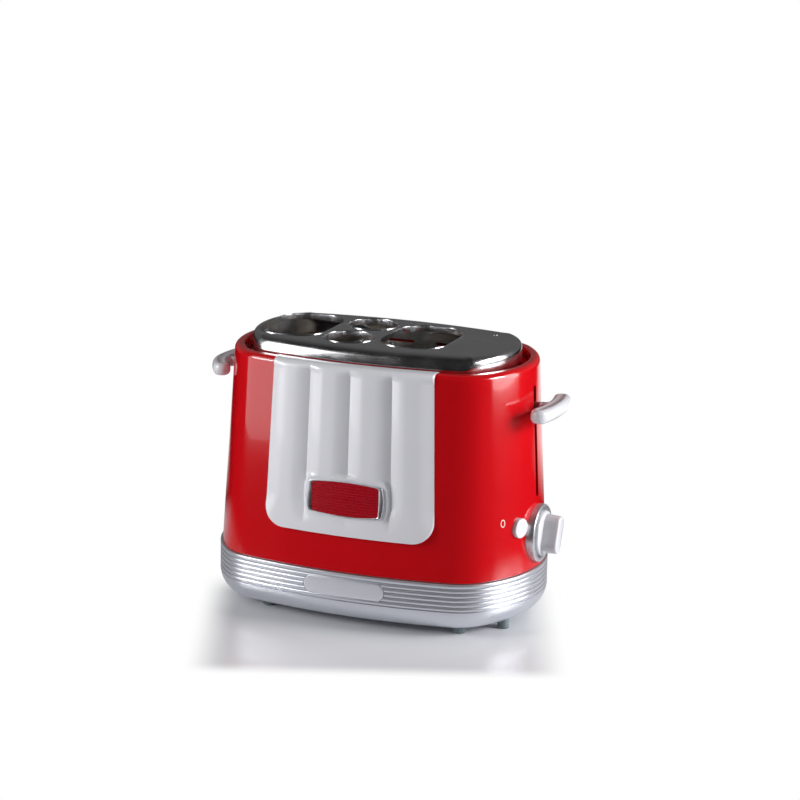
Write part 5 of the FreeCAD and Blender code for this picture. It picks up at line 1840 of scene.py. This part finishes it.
@dataclass
class Button:
    """Round stop button with a slightly hollow face, and the plain ring printed beside it."""

    angle: float = -18.5
    height: float = 75.9
    radius: float = 7.25
    rise: float = 2.6
    mark_place: Triple = (108.2, -42.9, 82.3)
    mark_half: tuple[float, float] = (1.75, 2.55)

    def spindle(self, shell: Shell) -> Spindle:
        """The button's axis, square to the leaning plan of the wall, starting at the wall.

        Args:
            shell: the shell it lies on.

        Returns:
            The axis.
        """
        turn = math.radians(self.angle)
        out = (math.cos(turn), math.sin(turn), 0.0)
        reach = OVAL.end_radius - shell.inset(self.height)
        return Spindle((OVAL.end_centre + out[0] * reach, out[1] * reach, self.height), out, (0.0, 0.0, 1.0))

    def build(self, shop: Workshop, shell: Shell) -> None:
        """Make the button and its mark.

        Args:
            shop: where pieces are made.
            shell: the shell it lies on.
        """
        r, rise = self.radius, self.rise
        cap = self.spindle(shell).turned(rows_of(
            (0, -13.6), (1.4, -13.6), (1.5, -13.4), (1.5, -6.9), (9.0, -6.9), (9.0, -5.3), (r, -5.3),
            (r, rise - 0.9), (r - 0.14, rise - 0.5), (r - 0.42, rise - 0.2), (r - 0.9, rise),
            (r - 2.0, rise - 0.08), (r * 0.4, rise - 0.3), (0, rise - 0.36)), 80)
        made = shop.piece("round_button", cap, "stop_key")
        shop.dress(made, "lever_white", ["stop_button"], 40.0)
        shop.dress(shop.piece("button_mark", self.mark(shell)), "print_cream")

    def mark(self, shell: Shell) -> Surface:
        """The plain ring: an upright ellipse laid on the wall by the distance round the plan.

        Args:
            shell: the shell it lies on.

        Returns:
            The ring.
        """
        x, y, z = self.mark_place
        wide, tall = self.mark_half
        points, normals = OVAL.outline(0.25)
        wall = points - shell.inset(z) * normals
        run = np.concatenate([[0.0], np.cumsum(np.linalg.norm(np.diff(wall, axis=0), axis=1))])
        start = run[np.argmin(np.hypot(wall[:, 0] - x, wall[:, 1] - y))]
        turn = around(64)
        rows = []
        for grow, lift in ((-0.32, 0.03), (-0.32, 0.07), (0.32, 0.07), (0.32, 0.03)):
            along = start + (wide + grow) * np.cos(turn)
            up = z + (tall + grow) * np.sin(turn)
            out = np.stack([np.interp(along, run, normals[:, i]) for i in (0, 1)], axis=1)
            base = np.stack([np.interp(along, run, points[:, i]) for i in (0, 1)], axis=1)
            flat = base + (lift - shell.inset(up))[:, None] * out
            rows.append(np.column_stack([flat, up]))
        return grid(np.stack(rows), True, True)


@dataclass
class Wirework:
    """The wire parts: guards beside the buns, racks under them and baskets for the sausages."""

    guard: float = 0.6
    guard_levels: tuple[float, float] = (24.8, 180.4)
    rack: float = 1.1
    rack_level: float = 112.0
    basket: float = 0.8
    basket_radius: float = 16.0
    basket_low: float = 88.0
    basket_top: float = 186.0
    bend: float = 2.5

    def guards(self, shop: Workshop, plate: TopPlate) -> None:
        """Five uprights between two level wires, on both sides of each bun slot.

        Args:
            shop: where pieces are made.
            plate: the top plate, with its openings.
        """
        for name, x in zip(("left", "right"), plate.slots()):
            wires = []
            for side in (-1, 1):
                plane = x + side * (plate.slot_width / 2 - 0.3)
                low, high = self.guard_levels
                paths = [[(plane, y, z) for y in (-40.0, -20.0, 0.0, 20.0, 40.0)] for z in (low, high)]
                paths += [[(plane, y, z) for z in (low, 60.0, 120.0, high)]
                          for y in np.linspace(-33.0, 33.0, 5)]
                wires += [wire(np.array(path), self.guard, (1, 0, 0)) for path in paths]
            shop.dress(shop.piece("guard_wires_" + name, gather(wires)), "drawn_wire",
                       ["bun_guard_" + name], 50.0)

    def racks(self, shop: Workshop, plate: TopPlate) -> None:
        """Three wires across each slot, tied by one along the middle.

        Args:
            shop: where pieces are made.
            plate: the top plate, with its openings.
        """
        paths, z = [], self.rack_level
        for x in plate.slots():
            paths += [[(x + step, y, z) for y in (-45.5, -20.0, 0.0, 20.0, 45.5)]
                      for step in (-14.0, 0.0, 14.0)]
            paths.append([(x + step, 0.0, z) for step in (-13.5, 0.0, 13.5)])
        wires = gather(wire(np.array(path), self.rack, (0, 0, 1), 12) for path in paths)
        shop.dress(shop.piece("rack_wires", wires, "bun_lift"), "drawn_wire", ["bun_racks"], 50.0)

    def baskets(self, shop: Workshop, plate: TopPlate) -> None:
        """Each basket: three bent wires that cross at the foot, and two level rings.

        Args:
            shop: where pieces are made.
            plate: the top plate, with its openings.
        """
        wires = []
        top, low, radius, bend = self.basket_top, self.basket_low, self.basket_radius, self.bend
        left = arc((0.0, 0.0), bend, 180.0, 270.0, 6) + (-radius + bend, low + bend)
        right = (left * (-1.0, 1.0))[::-1]
        path = rows_of((-radius, top), (-radius, 150.0), (-radius, 110.0), left, (-6.0, low), (6.0, low),
                       right, (radius, 110.0), (radius, 150.0), (radius, top))
        for y in (-plate.hole_spacing / 2, plate.hole_spacing / 2):
            for turn in (0.0, 60.0, 120.0):
                cos, sin = math.cos(math.radians(turn)), math.sin(math.radians(turn))
                route = np.column_stack([plate.group_x + path[:, 0] * cos, y + path[:, 0] * sin, path[:, 1]])
                wires.append(wire(route, self.basket, (-sin, cos, 0.0)))
            x_ring, y_ring = plate.group_x + radius * np.cos(around(64)), y + radius * np.sin(around(64))
            for z in (174.0, top):
                circle = np.column_stack([x_ring, y_ring, np.full(64, z)])
                wires.append(wire(circle, self.basket * 0.9, (0, 0, 1), 10, True))
        shop.dress(shop.piece("basket_wires", gather(wires), "sausage_lift"), "drawn_wire",
                   ["sausage_baskets"], 50.0)


@dataclass
class TrayFront:
    """Grip of the crumb tray: it fills the mouth in the back of the base and has a finger scoop."""

    left: float = -79.0
    right: float = 39.0
    low: float = 9.5
    high: float = 19.0
    inside: float = 59.2
    scoop: float = 3.4

    def build(self, shop: Workshop, base: Base) -> None:
        """Make the grip: the skirt's curve across its height, pushed in over the scoop, and a flat inside.

        Args:
            shop: where pieces are made.
            base: the base round it.
        """
        x = np.linspace(self.left, self.right, 119)
        z = np.linspace(self.low, self.high, 20)
        along, up = np.meshgrid(x, z, indexing="ij")
        away = np.abs(along - (self.left + self.right) / 2)
        scoop = (self.scoop * (1 - soft_step(11.0, 17.0, away)) * (1 - soft_step(14.5, 17.8, up))
                 * soft_step(8.0, 11.0, up + 0.5))
        skirt = -OVAL.front(along, base.skirt_offset(up)) - scoop
        outer = np.stack([along, skirt, up], axis=-1)
        inner = np.stack([along, np.full_like(up, self.inside), up], axis=-1)[:, ::-1]
        made = shop.piece("tray_grip", capped(np.concatenate([outer, inner[:, [0, -1]]], axis=1)), "tray")
        shop.dress(made, "base_silver", ["crumb_tray_front"], 38.0, True)


@dataclass
class Inlet:
    """Grommet for the mains cord: a ribbed collar outside and a neck through the wall."""

    x: float = 66.0
    z: float = 29.1
    end: float = 82.15

    def build(self, shop: Workshop, base: Base) -> None:
        """Make the grommet and cut it to the ribs.

        Args:
            shop: where pieces are made.
            base: the base round it.
        """
        r, end = 6.4, self.end
        section = rows_of(
            (3.6, 63.0), (6.2, 63.0), (r, 63.2), (r, 66.0), (4.9, 66.0), (4.9, 74.0), (r, 74.0),
            (r, end - 5.0), (r - 0.6, end - 4.6), (r - 0.6, end - 3.9), (r - 0.15, end - 3.5),
            (r - 0.2, end - 2.4), (r - 0.8, end - 2.0), (r - 0.8, end - 1.3), (r - 0.4, end - 0.9),
            (r - 0.7, end - 0.2), (r - 1.1, end), (4.1, end), (3.6, end - 0.5))
        made = shop.piece("cord_grommet", Spindle((self.x, 0.0, self.z), *TO_BACK).turned(section, 64))
        zone = base.ribbed()
        keep = rows_of((-12.0, zone[0][1]), zone + (0.05, 0.0), (-12.0, zone[-1][1]))
        carve(made, [ringed(*OVAL.outline(3.0), keep)])
        shop.dress(made, "black_rubber", ["cord_gland"], 40.0)


# ---- studio

@dataclass
class Lamp:
    """A soft box: its place, what it points at, its size in metres and its power."""

    name: str
    place: Triple
    aim: Triple
    size: tuple[float, float]
    power: float

    def build(self) -> None:
        """Make the lamp."""
        light = bpy.data.lights.new(self.name, "AREA")
        light.shape = "RECTANGLE"
        light.size, light.size_y = self.size
        light.energy = self.power
        made = bpy.data.objects.new(self.name, light)
        made.location = self.place
        made.rotation_euler = (Vector(self.place) - Vector(self.aim)).to_track_quat("Z", "Y").to_euler()
        bpy.context.scene.collection.objects.link(made)


@dataclass
class Studio:
    """Camera, pale floor, soft boxes and surroundings."""

    azimuth: float = 21.47
    elevation: float = 14.33
    roll: float = 1.12
    distance: float = 1.9112
    target: Triple = (0.01092, 0.0, 0.1499)
    lens: float = 117.63
    pool_edges: tuple[tuple[str, float, float], ...] = (
        ("X", -0.105, -0.137), ("X", 0.098, 0.132), ("Y", -0.15, -0.175), ("Y", 0.0, 0.05))
    wall_edges: tuple[tuple[str, float, float], ...] = (
        ("X", -0.3, -0.2), ("X", 0.6, 0.45), ("Y", 0.25, 0.45))

    def camera(self) -> None:
        """A long lens, turned about its own axis by the roll."""
        a, e, r = (math.radians(value) for value in (self.azimuth, self.elevation, self.roll))
        back = Vector((math.sin(a) * math.cos(e), -math.cos(a) * math.cos(e), math.sin(e)))
        right = Vector((math.cos(a), math.sin(a), 0.0))
        up = back.cross(right)
        right, up = right * math.cos(r) + up * math.sin(r), up * math.cos(r) - right * math.sin(r)
        data = bpy.data.cameras.new("view")
        data.lens, data.sensor_width = self.lens, 36.0
        data.shift_x, data.shift_y = 0.0003, 0.0037
        data.clip_start, data.clip_end = 0.05, 60.0
        made = bpy.data.objects.new("view", data)
        turn = Matrix((right, up, back)).transposed()
        made.matrix_world = Matrix.Translation(Vector(self.target) + back * self.distance) @ turn.to_4x4()
        bpy.context.scene.collection.objects.link(made)
        bpy.context.scene.camera = made

    def floor(self) -> None:
        """A wide pale glossy floor that turns to plain white away from the toaster.

        The camera sees the lit floor in a pool between the pool's edges and plain white past them. A
        reflection sees white far from the toaster, and brighter between the edges of the wall behind it.
        """
        mesh = bpy.data.meshes.new("floor")
        mesh.from_pydata([(-12, -12, 0), (12, -12, 0), (12, 12, 0), (-12, 12, 0)], [], [(0, 1, 2, 3)])
        made = bpy.data.objects.new("floor", mesh)
        bpy.context.scene.collection.objects.link(made)
        sheet = NodeSheet("pale_floor", Base_Color=(0.76, 0.77, 0.80), Roughness=0.2, IOR=1.35)
        bright = sheet.node("ShaderNodeEmission")
        path = sheet.node("ShaderNodeLightPath")
        split = sheet.node("ShaderNodeSeparateXYZ")
        sheet.join(sheet.stretched((1.0, 1.0, 1.0), turn=-self.azimuth), split.inputs[0])
        pool = None
        for side, inner, outer in self.pool_edges:
            share = sheet.spread(split.outputs[side], 1.0, 0.0, inner, outer)
            share.node.interpolation_type = "SMOOTHSTEP"
            pool = share if pool is None else sheet.times(pool, share)
        behind = path.outputs["Is Glossy Ray"]
        for side, inner, outer in self.wall_edges:
            behind = sheet.times(behind, sheet.spread(split.outputs[side], 0.0, 1.0, inner, outer))
        seen = sheet.times(sheet.spread(pool, 1.0, 0.0, 0.0, 1.0), path.outputs["Is Camera Ray"])
        gradient = sheet.node("ShaderNodeTexGradient", gradient_type="SPHERICAL")
        sheet.join(sheet.stretched((2.5, 4.2, 1.0), (0.05, 0.0, 0.0)), gradient.inputs["Vector"])
        far = sheet.spread(gradient.outputs["Fac"], 1.0, 0.0, 0.0, 0.3)
        far.node.interpolation_type = "SMOOTHSTEP"
        mirrored = sheet.times(far, path.outputs["Is Glossy Ray"])
        mix = sheet.node("ShaderNodeMixShader")
        sheet.join(sheet.added(seen, mirrored), mix.inputs["Fac"])
        sheet.join(sheet.added(path.outputs["Is Camera Ray"], behind), bright.inputs["Strength"])
        sheet.join(sheet.shader.outputs[0], mix.inputs[1])
        sheet.join(bright.outputs[0], mix.inputs[2])
        sheet.join(mix.outputs[0], sheet.tree.nodes["Material Output"].inputs["Surface"])
        mesh.materials.append(sheet.material)

    def surroundings(self) -> None:
        """White where the camera looks, a white wall behind and a dark room in front for reflections."""
        world = bpy.data.worlds.new("room")
        bpy.context.scene.world = world
        world.use_nodes = True
        tree = world.node_tree
        tree.nodes.clear()
        new, link = tree.nodes.new, tree.links.new
        split, depth = new("ShaderNodeSeparateXYZ"), new("ShaderNodeMapRange")
        link(new("ShaderNodeTexCoord").outputs["Generated"], split.inputs[0])
        depth.interpolation_type = "SMOOTHSTEP"
        for name, value in (("From Min", -0.2), ("From Max", 0.8), ("To Min", 0.015), ("To Max", 0.11)):
            depth.inputs[name].default_value = value
        link(split.outputs["Y"], depth.inputs["Value"])
        lights = {}
        for name, strength in (("ambient", 0.11), ("mirrored", 0.9), ("white", 1.0)):
            lights[name] = new("ShaderNodeBackground")
            lights[name].inputs["Strength"].default_value = strength
        link(depth.outputs["Result"], lights["mirrored"].inputs["Color"])
        lights["ambient"].inputs["Color"].default_value = (0.95, 0.97, 1.0, 1.0)
        lights["white"].inputs["Color"].default_value = (1.0, 1.0, 1.0, 1.0)
        path, seen = new("ShaderNodeLightPath"), new("ShaderNodeMath")
        seen.operation = "MAXIMUM"
        link(path.outputs["Is Camera Ray"], seen.inputs[0])
        link(path.outputs["Is Transmission Ray"], seen.inputs[1])
        glossy, last = new("ShaderNodeMixShader"), new("ShaderNodeMixShader")
        for mix, parts in ((glossy, (path.outputs["Is Glossy Ray"], lights["ambient"].outputs[0],
                                     lights["mirrored"].outputs[0])),
                           (last, (seen.outputs[0], glossy.outputs[0], lights["white"].outputs[0]))):
            for number, source in enumerate(parts):
                link(source, mix.inputs[number])
        link(last.outputs[0], new("ShaderNodeOutputWorld").inputs["Surface"])

    def lamps(self) -> None:
        """Soft boxes: a tall one and a key light at the left, a key light and a low one at the right."""
        for lamp in (
                Lamp("left_box", (-0.64, -0.50, 0.54), (0.0, 0.0, 0.50), (0.46, 1.08), 3.2),
                Lamp("left_key", (-1.85, -1.6, 1.1), (0.0, 0.0, 0.1), (0.7, 0.7), 24.0),
                Lamp("right_key", (2.3, 0.3, 1.0), (0.0, 0.0, 0.1), (0.7, 0.7), 36.0),
                Lamp("right_box", (1.016, 0.246, 0.375), (0.11, -0.114, 0.375), (0.64, 0.7), 8.0)):
            lamp.build()

    def build(self) -> None:
        """Set up the whole studio."""
        bpy.context.scene.view_settings.view_transform = "Standard"
        self.camera()
        self.floor()
        self.surroundings()
        self.lamps()


# ---- assembly

def dress_nodes(finishes: dict[str, bpy.types.Material]) -> None:
    """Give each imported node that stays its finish.

    Args:
        finishes: the materials by name.
    """
    for finish, nodes in NODE_FINISH.items():
        for node in nodes:
            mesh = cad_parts[node].data
            mesh.materials.clear()
            mesh.materials.append(finishes[finish])


def main() -> None:
    """Build the toaster and its studio."""
    logging.basicConfig(level=logging.INFO, format="%(name)s %(message)s")
    shop = Workshop({finish.name: finish.build() for finish in FINISHES})
    dress_nodes(shop.finishes)
    shell, base, plate, badge, button = Shell(), Base(), TopPlate(), PanelBadge(), Button()
    shell.build(shop, button)
    Panel().build(shop, shell, badge)
    badge.build(shop, shell)
    plate.build(shop)
    base.build(shop)
    BasePlate().build(shop)
    Lever("right_lever", "bun_lever_knob", "bun_lift", 159.2, 1, 137.0, bar_height=10.4).build(shop)
    Lever("left_lever", "sausage_lever_knob", "sausage_lift", 167.3, -1, 136.2, bar_height=9.6,
          near_chord=24.5, front_bend=5.4).build(shop)
    Dial().build(shop, shell)
    button.build(shop, shell)
    wires = Wirework()
    wires.guards(shop, plate)
    wires.racks(shop, plate)
    wires.baskets(shop, plate)
    TrayFront().build(shop, base)
    Inlet().build(shop, base)
    Studio().build()


if __name__ == "__main__":
    main()
